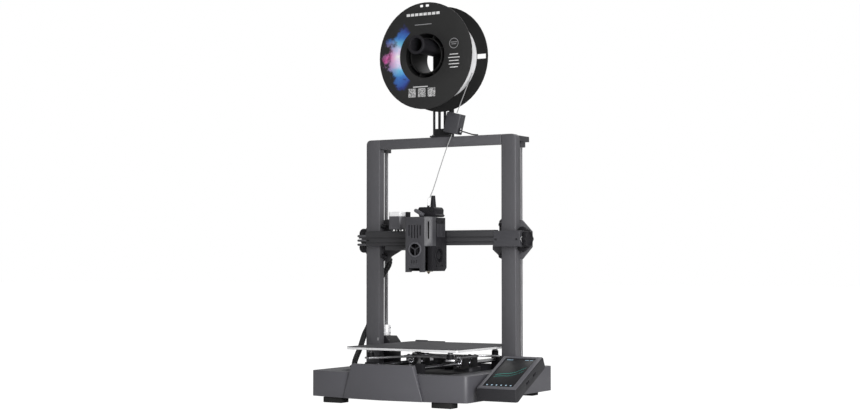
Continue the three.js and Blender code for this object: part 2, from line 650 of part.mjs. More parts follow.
function makeHead() {
  const group = new THREE.Group();
  place(group, 'head_body', headBody(), look.blackPlastic);
  place(group, 'head_cover', headCover(), look.greyPlastic);
  place(group, 'front_fan', rotor(4.5, 10.4, 5, 7, 0.6), look.blackPlastic, [FRONT_FAN.x, -78.6, FRONT_FAN.z]);
  place(group, 'side_fan', rotor(7, 12.2, 6.6, 13, 0).rotateZ(Math.PI / 2), look.blackPlastic,
    [HEAD.right - 4.8, SIDE_FAN.y, SIDE_FAN.z]);
  place(group, 'nozzle', nozzle(), look.brass);
  place(group, 'extruder', extruder(), look.blackPlastic);
  const lever = build([alongY(stadium(-15, 0, 0, 3.4), -2.6, 2.6), rodY(2.4, 0, 0, 0, 4.2, 16)]);
  place(group, 'extruder_lever', lever, look.greyPlastic, [3, -66, 343], 28);
  return group;
}

// ---- spool, filament and cables -------------------------------------------------------------
function spoolBody() {
  const { r, front, back, flange, bore, recess, barrel } = SPOOL;
  const shell = turnedY([
    [bore, back], [r, back], [r, back - flange], [barrel, back - flange], [barrel, front + flange],
    [r, front + flange], [r, front], [recess, front], [recess, 4], [bore + 2, 4], [bore + 2, front + 4], [bore, front + 4],
  ], 56);
  const ribs = [];
  for (let i = 0; i < 8; i += 1) {
    ribs.push(box(bore + 1, recess + 1, front + 6, 5, -0.8, 0.8).rotateY(((i + 0.5) / 8) * Math.PI * 2));
  }
  return build([shell, ...ribs], [
    box(77, 96, 5, back + 1, -4.5, 4.5),
    box(-11.5, -4.5, front - 1, front + 4, 91.5, 96), box(0.5, 8.2, front - 1, front + 4, 91.5, 96),
  ]);
}

function makeSpool() {
  const group = new THREE.Group();
  group.position.set(SPOOL.x, 0, SPOOL.z);
  const { front, back, flange, barrel } = SPOOL;
  place(group, 'spool', spoolBody(), look.spool);
  place(group, 'filament_winding', turnedY([
    [barrel + GAP, back - flange - GAP], [WINDING.r, back - flange - GAP],
    [WINDING.r, front + flange + GAP], [barrel + GAP, front + flange + GAP],
  ], 48), look.filament);
  return group;
}

function makeLines() {
  const group = new THREE.Group();
  const { x, y, z, width, depth, height, lean } = SENSOR;
  place(group, 'filament_sensor', new THREE.BoxGeometry(width, depth, height), look.greyPlastic, [x, y, z], lean);
  place(group, 'sensor_cable', tubeAlong(SENSOR_ROUTE, 1.2, 10), look.rubber);
  place(group, 'filament_upper', tubeAlong(UPPER_ROUTE, 0.9, 12), look.filament);
  place(group, 'filament_lower', tubeAlong(LOWER_ROUTE, 0.9, 20), look.filament);
  place(group, 'cable_harness', tubeAlong(HARNESS_ROUTE, 5.5, 32, 10), look.rubber);
  return group;
}

// ---- whole printer, origin at the middle of its lowest plane ---------------------------------
const printer = new THREE.Group();
printer.add(makeBase(), makeBed(), makeFrame(), makeGantry(), makeHead(), makeSpool(), makeLines());
const extent = new THREE.Box3().setFromObject(printer, true);
const middle = extent.getCenter(new THREE.Vector3());
printer.position.set(-middle.x, -middle.y, -extent.min.z);

const group = new THREE.Group();
group.add(printer);
export default group;
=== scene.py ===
"""Finishes, fittings and held lines of a desktop filament printer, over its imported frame."""
import math

import bmesh
import bpy
from bpy.props import FloatProperty, FloatVectorProperty, IntProperty, PointerProperty
from mathutils import Matrix, Vector


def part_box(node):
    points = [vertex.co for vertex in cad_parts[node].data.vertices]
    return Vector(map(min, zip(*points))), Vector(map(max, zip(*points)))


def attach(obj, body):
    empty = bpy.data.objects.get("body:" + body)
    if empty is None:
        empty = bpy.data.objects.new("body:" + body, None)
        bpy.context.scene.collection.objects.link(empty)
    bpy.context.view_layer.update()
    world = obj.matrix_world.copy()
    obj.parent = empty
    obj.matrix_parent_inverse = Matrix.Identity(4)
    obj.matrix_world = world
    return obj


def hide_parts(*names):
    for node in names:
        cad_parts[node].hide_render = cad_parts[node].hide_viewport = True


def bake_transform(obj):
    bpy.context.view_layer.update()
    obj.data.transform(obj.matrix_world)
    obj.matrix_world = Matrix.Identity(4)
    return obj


bl_info = {
    "name": "Filament printer finishes",
    "version": (1, 0, 0),
    "blender": (4, 5, 0),
    "location": "3D View > Sidebar > Printer",
    "description": "Builds the finished surfaces, fittings and lines of a desktop filament printer",
    "category": "Object",
}

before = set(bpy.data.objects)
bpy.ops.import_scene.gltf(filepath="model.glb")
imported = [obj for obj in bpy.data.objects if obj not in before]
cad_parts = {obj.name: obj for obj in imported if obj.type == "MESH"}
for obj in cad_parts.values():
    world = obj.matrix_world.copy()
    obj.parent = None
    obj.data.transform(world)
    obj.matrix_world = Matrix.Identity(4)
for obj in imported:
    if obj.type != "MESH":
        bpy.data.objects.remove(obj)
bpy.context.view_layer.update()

# The printer's own axes: the middle between the uprights, their front faces and the floor.
POST_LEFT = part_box("upright_left")
POST_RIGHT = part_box("upright_right")
ORIGIN = Vector(((POST_LEFT[0][0] + POST_RIGHT[1][0]) / 2, POST_LEFT[0][1], 0))
SPOOL_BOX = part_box("spool")
SPOOL_CENTRE = (Vector(SPOOL_BOX[0]) + Vector(SPOOL_BOX[1])) / 2
SCREEN_TILT = math.radians(26)

# Routes of the lines that are held at both ends, in millimetres from the printer's own axes.
SPOOL_TO_SENSOR = [(73.2, -2, 608.1), (57.2, -2.5, 571.4), (41.2, -3, 534.7)]
SENSOR_TO_HEAD = [
    (30.4, -3, 495.2), (23.6, -9, 472), (15.4, -22.5, 430), (8, -35, 390), (3.4, -42.2, 370),
    (2.5, -43, 360.4),
]
SENSOR_LEAD = [(48.2, 3, 499.4), (52, 3.4, 499), (60, 5, 496.4), (70, 7, 493.4), (80, 8, 492.5)]
HARNESS = [
    (-150, -60, 57.6), (-150, -60, 64), (-165, -16.6, 92), (-173, 10, 115), (-177.5, 33, 134),
    (-176, 36, 165), (-172, 36, 190), (-152, 33.5, 222), (-131, 32, 250), (-128, 30.3, 262),
]

# Height, in millimetres, at which the held filament below the sensor is split into two pieces.
FILAMENT_SPLIT = 405


# ---- sizes and colours ----------------------------------------------------------------------
def length(name, description, default):
    return FloatProperty(name=name, description=description, default=default, min=0, subtype="DISTANCE",
        unit="LENGTH")


def tint(name, description, default):
    return FloatVectorProperty(name=name, description=description, default=default, subtype="COLOR", min=0,
        max=1)


class PrinterColours(bpy.types.PropertyGroup):
    cover: tint("Cover plastic", "Grey of the base, head and screen housings", (0.086, 0.085, 0.096))
    powder: tint("Powder coat", "Grey of the uprights, beams and brackets", (0.094, 0.093, 0.101))
    black: tint("Black plastic", "Black of the deck, motors, extruder and knob", (0.014, 0.0135, 0.016))
    spool: tint("Spool plastic", "Dark grey of the reel", (0.022, 0.022, 0.022))
    strand: tint("Filament", "Colour of the printing filament", (0.62, 0.62, 0.63))
    sheet: tint("Build plate", "Dark grain of the removable plate", (0.062, 0.062, 0.068))
    metal: tint("Bare metal", "Colour of rods, screws and plate edges", (0.62, 0.62, 0.64))


class PrinterFittings(bpy.types.PropertyGroup):
    head_radius: length("Screw head radius", "Radius of the socket screws' heads", 0.0024)
    head_height: length("Screw head height", "How far the heads stand out", 0.0016)
    socket_radius: length("Socket radius", "Radius of the recess in a head", 0.0012)
    socket_depth: length("Socket depth", "Depth of the recess in a head", 0.0011)
    thread_pitch: length("Thread pitch", "Rise from one ridge of the lead screws to the next", 0.002)
    thread_starts: IntProperty(name="Thread starts", description="Ridges side by side", default=4, min=1)
    edge: length("Edge radius", "Softened edge of the moulded covers", 0.0012)


class PrinterLines(bpy.types.PropertyGroup):
    filament: length("Filament diameter", "Diameter of the printing filament", 0.00175)
    harness: length("Harness diameter", "Diameter of the sleeved cable bundle", 0.011)
    lead: length("Sensor lead diameter", "Diameter of the sensor's lead", 0.0024)
    wrap_pitch: length("Wrap pitch", "Rise of the bundle's spiral wrap per turn", 0.006)


class PrinterStage(bpy.types.PropertyGroup):
    lens: FloatProperty(name="Lens", description="Focal length on a 36 mm sensor", default=64.36, min=1,
        unit="CAMERA")
    heading: FloatProperty(
        name="Heading", description="Turn of the view to the printer's left", default=math.radians(30.563),
        subtype="ANGLE")
    lift: FloatProperty(name="Lift", description="Upward tilt of the view", default=math.radians(2.208),
        subtype="ANGLE")
    key: FloatProperty(name="Key light", description="Power of the large front light", default=34, min=0,
        unit="POWER")
    side: FloatProperty(name="Side light", description="Power of the light on the right", default=36, min=0,
        unit="POWER")
    back: FloatProperty(name="Back light", description="Power of the light behind", default=15, min=0,
        unit="POWER")
    room: FloatProperty(name="Room light", description="Strength of the even light all round", default=0.33,
        min=0)


class PrinterSettings(bpy.types.PropertyGroup):
    colours: PointerProperty(type=PrinterColours)
    fittings: PointerProperty(type=PrinterFittings)
    lines: PointerProperty(type=PrinterLines)
    stage: PointerProperty(type=PrinterStage)


def settings():
    return bpy.context.scene.printer


def at(x, y, z):
    """A place given in millimetres from the printer's own axes."""
    return ORIGIN + Vector((x, y, z)) / 1000


def on_screen(x, along, proud=0.0):
    """A place on the tilted glass: across, up the slope from its lower edge, and proud of it."""
    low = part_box("display_glass")[0]
    sine, cosine = math.sin(SCREEN_TILT), math.cos(SCREEN_TILT)
    return Vector((
        low[0] + x / 1000,
        low[1] + (along * cosine - proud * sine) / 1000,
        low[2] + (along * sine + proud * cosine) / 1000 + 0.001 * cosine,
    ))


# ---- shared shader groups -------------------------------------------------------------------
def group_tree(name, inputs, outputs):
    """A shader node group with named sockets; inputs maps a name to (type, default)."""
    tree = bpy.data.node_groups.new(name, "ShaderNodeTree")
    for label, (kind, default) in inputs.items():
        socket = tree.interface.new_socket(name=label, in_out="INPUT", socket_type=kind)
        if default is not None:
            socket.default_value = default
    for label, kind in outputs.items():
        tree.interface.new_socket(name=label, in_out="OUTPUT", socket_type=kind)
    return tree, tree.nodes.new("NodeGroupInput"), tree.nodes.new("NodeGroupOutput")


def math_node(tree, operation, first, second=None, third=None, clamp=False):
    node = tree.nodes.new("ShaderNodeMath")
    node.operation = operation
    node.use_clamp = clamp
    for socket, value in zip(node.inputs, (first, second, third)):
        if isinstance(value, bpy.types.NodeSocket):
            tree.links.new(value, socket)
        elif value is not None:
            socket.default_value = value
    return node.outputs[0]


def noise_node(tree, vector, scale, detail=3.0, roughness=0.5):
    node = tree.nodes.new("ShaderNodeTexNoise")
    tree.links.new(vector, node.inputs["Vector"])
    if isinstance(scale, bpy.types.NodeSocket):
        tree.links.new(scale, node.inputs["Scale"])
    else:
        node.inputs["Scale"].default_value = scale
    node.inputs["Detail"].default_value = detail
    node.inputs["Roughness"].default_value = roughness
    return node.outputs["Fac"]


def moulded_grain():
    """Spark-eroded grain, cloudy tone and uneven gloss of moulded plastic and powder coat."""
    tree, given, out = group_tree(
        "Moulded grain",
        {
            "Vector": ("NodeSocketVector", None), "Colour": ("NodeSocketColor", (0.1, 0.1, 0.1, 1)),
            "Tone spread": ("NodeSocketFloat", 0.12), "Grain scale": ("NodeSocketFloat", 1400.0),
            "Roughness": ("NodeSocketFloat", 0.5), "Gloss spread": ("NodeSocketFloat", 0.12),
        },
        {"Colour": "NodeSocketColor", "Roughness": "NodeSocketFloat", "Height": "NodeSocketFloat"},
    )
    vector = given.outputs["Vector"]
    cloud = noise_node(tree, vector, 14.0, 4.0)
    grain = noise_node(tree, vector, given.outputs["Grain scale"], 2.0, 0.6)
    lift = math_node(tree, "MULTIPLY", math_node(tree, "SUBTRACT", cloud, 0.5), given.outputs["Tone spread"])
    fine = math_node(tree, "MULTIPLY", math_node(tree, "SUBTRACT", grain, 0.5), given.outputs["Tone spread"])
    factor = math_node(tree, "ADD", math_node(tree, "ADD", lift, 1.0), fine)
    scale = tree.nodes.new("ShaderNodeVectorMath")
    scale.operation = "SCALE"
    tree.links.new(given.outputs["Colour"], scale.inputs[0])
    tree.links.new(factor, scale.inputs["Scale"])
    tree.links.new(scale.outputs[0], out.inputs["Colour"])
    smear = math_node(tree, "MULTIPLY", math_node(tree, "SUBTRACT", noise_node(tree, vector, 45.0, 5.0), 0.5),
                      given.outputs["Gloss spread"])
    tree.links.new(math_node(tree, "ADD", smear, given.outputs["Roughness"], clamp=True),
        out.inputs["Roughness"])
    tree.links.new(grain, out.inputs["Height"])
    return tree


def brushed_streaks():
    """Fine streaks of ground or brushed metal, drawn out along one axis."""
    tree, given, out = group_tree(
        "Brushed streaks",
        {
            "Vector": ("NodeSocketVector", None), "Stretch": ("NodeSocketVector", (900.0, 30.0, 900.0)),
            "Colour": ("NodeSocketColor", (0.6, 0.6, 0.6, 1)), "Roughness": ("NodeSocketFloat", 0.3),
        },
        {"Colour": "NodeSocketColor", "Roughness": "NodeSocketFloat", "Height": "NodeSocketFloat"},
    )
    stretched = tree.nodes.new("ShaderNodeVectorMath")
    stretched.operation = "MULTIPLY"
    tree.links.new(given.outputs["Vector"], stretched.inputs[0])
    tree.links.new(given.outputs["Stretch"], stretched.inputs[1])
    streak = noise_node(tree, stretched.outputs[0], 1.0, 4.0, 0.65)
    scale = tree.nodes.new("ShaderNodeVectorMath")
    scale.operation = "SCALE"
    tree.links.new(given.outputs["Colour"], scale.inputs[0])
    tree.links.new(math_node(tree, "MULTIPLY_ADD", streak, 0.3, 0.85), scale.inputs["Scale"])
    tree.links.new(scale.outputs[0], out.inputs["Colour"])
    tree.links.new(
        math_node(tree, "ADD", math_node(tree, "MULTIPLY_ADD", streak, 0.22, -0.11),
            given.outputs["Roughness"], clamp=True),
        out.inputs["Roughness"])
    tree.links.new(streak, out.inputs["Height"])
    return tree


# ---- materials --------------------------------------------------------------------------------
def blank(name):
    """A new material with its Principled node and Object coordinates."""
    material = bpy.data.materials.new(name)
    material.use_nodes = True
    tree = material.node_tree
    shader = tree.nodes["Principled BSDF"]
    place = tree.nodes.new("ShaderNodeTexCoord").outputs["Object"]
    return material, tree, shader, place


def relief(tree, shader, height, strength, distance):
    bump = tree.nodes.new("ShaderNodeBump")
    bump.inputs["Strength"].default_value = strength
    bump.inputs["Distance"].default_value = distance
    tree.links.new(height, bump.inputs["Height"])
    tree.links.new(bump.outputs["Normal"], shader.inputs["Normal"])


def grained(name, colour, roughness, scale=1400.0, tone=0.14, depth=0.00006, gloss=0.12, specular=0.5,
        metallic=0.0):
    material, tree, shader, place = blank(name)
    group = tree.nodes.new("ShaderNodeGroup")
    group.node_tree = bpy.data.node_groups["Moulded grain"]
    group.inputs["Colour"].default_value = (*colour, 1)
    group.inputs["Tone spread"].default_value = tone
    group.inputs["Grain scale"].default_value = scale
    group.inputs["Roughness"].default_value = roughness
    group.inputs["Gloss spread"].default_value = gloss
    tree.links.new(place, group.inputs["Vector"])
    tree.links.new(group.outputs["Colour"], shader.inputs["Base Color"])
    tree.links.new(group.outputs["Roughness"], shader.inputs["Roughness"])
    shader.inputs["Specular IOR Level"].default_value = specular
    shader.inputs["Metallic"].default_value = metallic
    relief(tree, shader, group.outputs["Height"], 0.5, depth)
    return material


def brushed(name, colour, roughness, stretch, metallic=1.0):
    material, tree, shader, place = blank(name)
    group = tree.nodes.new("ShaderNodeGroup")
    group.node_tree = bpy.data.node_groups["Brushed streaks"]
    group.inputs["Colour"].default_value = (*colour, 1)
    group.inputs["Roughness"].default_value = roughness
    group.inputs["Stretch"].default_value = stretch
    tree.links.new(place, group.inputs["Vector"])
    tree.links.new(group.outputs["Colour"], shader.inputs["Base Color"])
    tree.links.new(group.outputs["Roughness"], shader.inputs["Roughness"])
    shader.inputs["Metallic"].default_value = metallic
    relief(tree, shader, group.outputs["Height"], 0.25, 0.00003)
    return material


def spool_print():
    """Reel plastic, with a burst of soft colour printed round the left of its front face; every face but the
    front is painted darker, as painted shade.
    """
    colour = settings().colours.spool
    material, tree, shader, place = blank("Spool plastic")
    centre = tree.nodes.new("ShaderNodeVectorMath")
    centre.operation = "SUBTRACT"
    tree.links.new(place, centre.inputs[0])
    centre.inputs[1].default_value = SPOOL_CENTRE
    split = tree.nodes.new("ShaderNodeSeparateXYZ")
    tree.links.new(centre.outputs[0], split.inputs[0])
    front_face = math_node(tree, "LESS_THAN", split.outputs["Y"],
        (SPOOL_BOX[0][1] - SPOOL_BOX[1][1]) / 2 + 0.0003)
    across, up = split.outputs["X"], split.outputs["Z"]
    away = math_node(tree, "SQRT", math_node(
        tree, "ADD", math_node(tree, "MULTIPLY", across, across), math_node(tree, "MULTIPLY", up, up)))
    angle = math_node(tree, "ARCTAN2", up, math_node(tree, "MULTIPLY", across, -1.0))
    swirl = math_node(tree, "SUBTRACT", noise_node(tree, place, 48.0, 6.0, 0.62), 0.5)
    spread = math_node(tree, "MULTIPLY_ADD", swirl, 0.5, math_node(tree, "DIVIDE", angle, 1.02))
    off = math_node(tree, "ABSOLUTE", spread)
    rim = math_node(tree, "MULTIPLY_ADD", swirl, 0.075, math_node(
        tree, "MULTIPLY_ADD", math_node(tree, "POWER", off, 2.0), -0.012, 0.088))
    inside = math_node(tree, "MULTIPLY", math_node(tree, "SUBTRACT", rim, away), 90.0, clamp=True)
    ends = math_node(tree, "MULTIPLY", math_node(
        tree, "SUBTRACT", 0.98, math_node(tree, "ABSOLUTE", math_node(tree, "DIVIDE", angle, 1.0))), 9.0,
        clamp=True)
    edge = math_node(tree, "GREATER_THAN", away, 0.055)
    printed = math_node(tree, "MULTIPLY", math_node(tree, "MULTIPLY", inside, ends), edge)
    mask = math_node(tree, "MULTIPLY", printed, front_face)
    ramp = tree.nodes.new("ShaderNodeValToRGB")
    stops = ramp.color_ramp.elements
    stops[0].color = (1.0, 1.0, 1.0, 1)
    stops[1].position = 0.95
    stops[1].color = (0.03, 0.045, 0.22, 1)
    for position, value in ((0.16, (0.85, 0.72, 0.95, 1)), (0.38, (0.16, 0.52, 0.75, 1)),
            (0.68, (0.05, 0.17, 0.5, 1))):
        stops.new(position).color = value
    tree.links.new(math_node(tree, "MULTIPLY_ADD", away, 9.0, math_node(tree, "SUBTRACT", off, 0.52)),
        ramp.inputs[0])
    magenta = tree.nodes.new("ShaderNodeMix")
    magenta.data_type = "RGBA"
    glow = math_node(tree, "MULTIPLY", math_node(tree, "SUBTRACT", away, 0.061), 60.0, clamp=True)
    calm = math_node(tree, "SUBTRACT", 1.0, math_node(tree, "MULTIPLY", off, 2.2, clamp=True))
    tree.links.new(math_node(tree, "MULTIPLY", glow, calm), magenta.inputs["Factor"])
    tree.links.new(ramp.outputs[0], magenta.inputs["A"])
    magenta.inputs["B"].default_value = (0.62, 0.09, 0.34, 1)
    mix = tree.nodes.new("ShaderNodeMix")
    mix.data_type = "RGBA"
    tree.links.new(mask, mix.inputs["Factor"])
    # Painted shade: every face of the reel but its front gets the same plastic at 0.42 of its colour.
    base = tree.nodes.new("ShaderNodeMix")
    base.data_type = "RGBA"
    tree.links.new(front_face, base.inputs["Factor"])
    base.inputs["A"].default_value = (*[channel * 0.42 for channel in colour], 1)
    base.inputs["B"].default_value = (*colour, 1)
    tree.links.new(base.outputs["Result"], mix.inputs["A"])
    tree.links.new(magenta.outputs["Result"], mix.inputs["B"])
    tree.links.new(mix.outputs["Result"], shader.inputs["Base Color"])
    shader.inputs["Roughness"].default_value = 0.55
    shader.inputs["Specular IOR Level"].default_value = 0.25
    relief(tree, shader, noise_node(tree, place, 1600.0), 0.2, 0.00003)
    return material


def code_print():
    """Small pale cells at random on a light square."""
    material, tree, shader, place = blank("Cell print")
    cells = tree.nodes.new("ShaderNodeTexVoronoi")
    cells.distance = "CHEBYCHEV"
    cells.inputs["Scale"].default_value = 900.0
    cells.inputs["Randomness"].default_value = 0.0
    tree.links.new(place, cells.inputs["Vector"])
    split = tree.nodes.new("ShaderNodeSeparateColor")
    tree.links.new(cells.outputs["Color"], split.inputs[0])
    ramp = tree.nodes.new("ShaderNodeValToRGB")
    ramp.color_ramp.interpolation = "CONSTANT"
    ramp.color_ramp.elements[0].color = (0.10, 0.10, 0.10, 1)
    ramp.color_ramp.elements[1].position = 0.45
    ramp.color_ramp.elements[1].color = (0.5, 0.5, 0.5, 1)
    tree.links.new(split.outputs[0], ramp.inputs[0])
    tree.links.new(ramp.outputs[0], shader.inputs["Base Color"])
    shader.inputs["Roughness"].default_value = 0.6
    return material


def dark_glass():
    material, tree, shader, place = blank("Screen glass")
    group = tree.nodes.new("ShaderNodeGroup")
    group.node_tree = bpy.data.node_groups["Moulded grain"]
    group.inputs["Colour"].default_value = (0.014, 0.0145, 0.016, 1)
    group.inputs["Tone spread"].default_value = 0.1
    group.inputs["Grain scale"].default_value = 60.0
    group.inputs["Roughness"].default_value = 0.42
    shader.inputs["Specular IOR Level"].default_value = 0.22
    group.inputs["Gloss spread"].default_value = 0.06
    tree.links.new(place, group.inputs["Vector"])
    tree.links.new(group.outputs["Colour"], shader.inputs["Base Color"])
    tree.links.new(group.outputs["Roughness"], shader.inputs["Roughness"])
    return material


def lit(name, colour, strength):
    """A printed or glowing mark whose light varies a little over its face."""
    material, tree, shader, place = blank(name)
    ramp = tree.nodes.new("ShaderNodeValToRGB")
    ramp.color_ramp.elements[0].color = (*[channel * 0.75 for channel in colour], 1)
    ramp.color_ramp.elements[1].color = (*colour, 1)
    tree.links.new(noise_node(tree, place, 260.0), ramp.inputs[0])
    tree.links.new(ramp.outputs[0], shader.inputs["Base Color"])
    if strength:
        tree.links.new(ramp.outputs[0], shader.inputs["Emission Color"])
        shader.inputs["Emission Strength"].default_value = strength
    shader.inputs["Roughness"].default_value = 0.5
    return material


def make_materials():
    moulded_grain()
    brushed_streaks()
    c = settings().colours
    return {
        "cover": grained("Cover plastic", c.cover, 0.48, 1500.0, 0.10, specular=0.6),
        "head cover": grained("Head cover plastic", [v * 0.55 for v in c.cover], 0.46, 1500.0, 0.10),
        "powder": grained("Powder coat", c.powder, 0.52, 2400.0, 0.10, 0.00004, metallic=0.15),
        "dark powder": grained("Dark powder coat", [v * 0.5 for v in c.powder], 0.42, 2400.0, 0.10, 0.00004,
            metallic=0.15),
        "black": grained("Black plastic", c.black, 0.5, 1300.0, 0.2, specular=0.22),
        "deck": grained("Deck plastic", [v * 0.9 for v in c.black], 0.7, 1300.0, 0.2, 0.00003, specular=0.2),
        # The beam's coat is set at under half the powder grey. This is partly its own darker coat and partly
        # painted shade, standing in for the shadow the head casts on its right part.
        "beam": grained("Beam coat with painted shade", [v * 0.45 for v in c.powder], 0.5, 2400.0, 0.10, 0.00004, metallic=0.15),
        "bezel": grained("Bezel plastic", [v * 1.2 for v in c.cover], 0.5, 1500.0, 0.10),
        "dark cover": grained("Housing plastic", [v * 0.28 for v in c.cover], 0.5, 1500.0, 0.12,
            specular=0.3),
        "bracket": grained("Bracket coat", [v * 0.2 for v in c.powder], 0.5, 2400.0, 0.10, 0.00004,
            specular=0.3),
        "motor": grained("Motor steel", (0.105, 0.104, 0.114), 0.45, 900.0, 0.2, metallic=0.3),
        "rubber": grained("Rubber", (0.018, 0.018, 0.018), 0.78, 1800.0, 0.25, 0.0001, specular=0.3),
        "sleeve": grained("Cable sleeve", (0.012, 0.012, 0.013), 0.5, 1800.0, 0.3),
                # Painted shade: the free filament is the same filament as the winding, at half its colour.
                "line": grained("Filament in painted shade", [v * 0.5 for v in c.strand], 0.4, 900.0, 0.06),
        "strand": grained("Filament", c.strand, 0.4, 900.0, 0.06),
        "sheet": grained("Build plate grain", c.sheet, 0.72, 2600.0, 0.4, 0.00012),
        "steel": brushed("Ground steel", c.metal, 0.2, (900.0, 25.0, 900.0)),
        "thread": brushed("Screw steel", (0.5, 0.5, 0.51), 0.34, (700.0, 700.0, 40.0)),
        "edge": brushed("Plate aluminium", (0.95, 0.95, 0.96), 0.42, (40.0, 40.0, 1500.0), 0.3),
        "bell": brushed("Cast end cap", (0.95, 0.95, 0.96), 0.6, (300.0, 300.0, 300.0), 0.1),
        "stamped": brushed("Zinc plate", (0.36, 0.36, 0.37), 0.33, (200.0, 30.0, 200.0)),
        "brass": brushed("Turned brass", (0.40, 0.34, 0.25), 0.36, (60.0, 60.0, 1200.0)),
        "bolt": brushed("Black oxide", (0.055, 0.055, 0.058), 0.36, (300.0, 300.0, 300.0), 0.8),
        "card": spool_print(),
        "cells": code_print(),
        "ink": lit("White ink", (0.72, 0.72, 0.72), 0.0),
        "grey ink": lit("Grey ink", (0.30, 0.30, 0.31), 0.0),
        "glass": dark_glass(),
        "teal": lit("Teal trace", (0.02, 0.32, 0.26), 0.35),
        "icon": lit("Screen icon", (0.35, 0.5, 0.62), 0.4),
    }


MATERIALS = {}


# ---- meshes -------------------------------------------------------------------------------------
def settle(obj):
    """Applies the object's modifiers, so that its mesh is a plain one."""
    bpy.context.view_layer.update()
    depsgraph = bpy.context.evaluated_depsgraph_get()
    done = bpy.data.meshes.new_from_object(obj.evaluated_get(depsgraph), depsgraph=depsgraph)
    obj.modifiers.clear()
    obj.data = done
    return obj


def finish_piece(name, bm, body, material, replaces=(), edge=0.0, smooth=34, segments=2):
    """Makes a piece from a bmesh: softened edges, smooth where it is round, riding on its body."""
    mesh = bpy.data.meshes.new(name)
    bm.to_mesh(mesh)
    bm.free()
    mesh.materials.append(MATERIALS[material])
    obj = bpy.data.objects.new(name, mesh)
    bpy.context.scene.collection.objects.link(obj)
    if edge:
        bevel = obj.modifiers.new("Soft edges", "BEVEL")
        bevel.width = edge
        bevel.segments = segments
        bevel.limit_method = "ANGLE"
        bevel.angle_limit = math.radians(32)
        settle(obj)
    obj.data.shade_smooth()
    obj.data.set_sharp_from_angle(angle=math.radians(smooth))
    if replaces:
        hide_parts(*replaces)
    if body:
        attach(obj, body)
    return obj


def from_node(node):
    """A merged copy of a CAD node's mesh, with its flat faces made whole."""
    bm = bmesh.new()
    bm.from_mesh(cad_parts[node].data)
    bmesh.ops.remove_doubles(bm, verts=bm.verts, dist=2e-6)
    bmesh.ops.dissolve_limit(bm, angle_limit=math.radians(0.6), verts=bm.verts, edges=bm.edges, delimit=set())
    return bm


def coat(nodes, body, material, edge=0.0005):
    """Finished copies of CAD nodes that share a body, a slot and a finish."""
    for node in nodes:
        finish_piece(f"{node}_finish", from_node(node), body, material, (node,), edge)


def add_block(bm, low, high):
    """A box between two corners given in millimetres from the printer's own axes."""
    low, high = at(*low), at(*high)
    size = high - low
    matrix = Matrix.Translation((low + high) / 2) @ Matrix.Diagonal((*size, 1))
    bmesh.ops.create_cube(bm, size=1, matrix=matrix)


def add_turned(bm, centre, axis, profile, sides=48):
    """Turns a closed profile of (radius, along) pairs, in millimetres, round an axis."""
    turn = Vector(axis).to_track_quat("Z", "Y").to_matrix()
    rings = []
    for i in range(sides):
        angle = 2 * math.pi * i / sides
        spoke = Vector((math.cos(angle), math.sin(angle), 0))
        rings.append([
            bm.verts.new(centre + turn @ (spoke * r + Vector((0, 0, z))) / 1000) for r, z in profile])
    count = len(profile)
    faces = []
    for i, ring in enumerate(rings):
        after = rings[(i + 1) % sides]
        for j in range(count):
            k = (j + 1) % count
            faces.append(bm.faces.new((ring[j], after[j], after[k], ring[k])))
    bmesh.ops.recalc_face_normals(bm, faces=faces)


def add_slab(bm, corners, thickness):
    """A flat outline with a thickness along its own normal, away from the first face."""
    low = [bm.verts.new(c) for c in corners]
    normal = (corners[1] - corners[0]).cross(corners[2] - corners[1]).normalized() * thickness
    high = [bm.verts.new(c + normal) for c in corners]
    faces = [bm.faces.new(list(reversed(low))), bm.faces.new(high)]
    for i in range(len(low)):
        j = (i + 1) % len(low)
        faces.append(bm.faces.new((low[i], low[j], high[j], high[i])))


def smooth_route(points, step=0.0015):
    """Centripetal curve through the points, as closely spaced places in the row frame."""
    given = [at(*p) for p in points]
    padded = [given[0] * 2 - given[1], *given, given[-1] * 2 - given[-2]]
    route = []
    for a, b, c, d in zip(padded, padded[1:], padded[2:], padded[3:]):
        t0 = 0.0
        t1 = t0 + math.sqrt((b - a).length)
        t2 = t1 + math.sqrt((c - b).length)
        t3 = t2 + math.sqrt((d - c).length)
        count = max(2, round((c - b).length / step))
        for i in range(count):
            t = t1 + (t2 - t1) * i / count
            ab = a.lerp(b, (t - t0) / (t1 - t0))
            bc = b.lerp(c, (t - t1) / (t2 - t1))
            cd = c.lerp(d, (t - t2) / (t3 - t2))
            abc = ab.lerp(bc, (t - t0) / (t2 - t0))
            bcd = bc.lerp(cd, (t - t1) / (t3 - t1))
            route.append(abc.lerp(bcd, (t - t1) / (t2 - t1)))
    route.append(given[-1])
    return route


def add_tube(bm, route, radius, sides=10, wrap=None):
    """A closed round tube along a route; wrap is (pitch, depth) of a spiral ridge."""
    side = (route[1] - route[0]).orthogonal().normalized()
    rings = []
    travelled = 0.0
    for i, point in enumerate(route):
        tangent = (route[min(i + 1, len(route) - 1)] - route[max(i - 1, 0)]).normalized()
        side = (side - tangent * side.dot(tangent)).normalized()
        across = tangent.cross(side)
        if i:
            travelled += (point - route[i - 1]).length
        ring = []
        for j in range(sides):
            angle = 2 * math.pi * j / sides
            r = radius
            if wrap:
                r -= wrap[1] * (0.5 + 0.5 * math.cos(2 * math.pi * travelled / wrap[0] - angle)) ** 3
            ring.append(bm.verts.new(point + (side * math.cos(angle) + across * math.sin(angle)) * r))
        rings.append(ring)
    for near, far in zip(rings, rings[1:]):
        for j in range(sides):
            k = (j + 1) % sides
            bm.faces.new((near[j], near[k], far[k], far[j]))
    bm.faces.new(list(reversed(rings[0])))
    bm.faces.new(rings[-1])


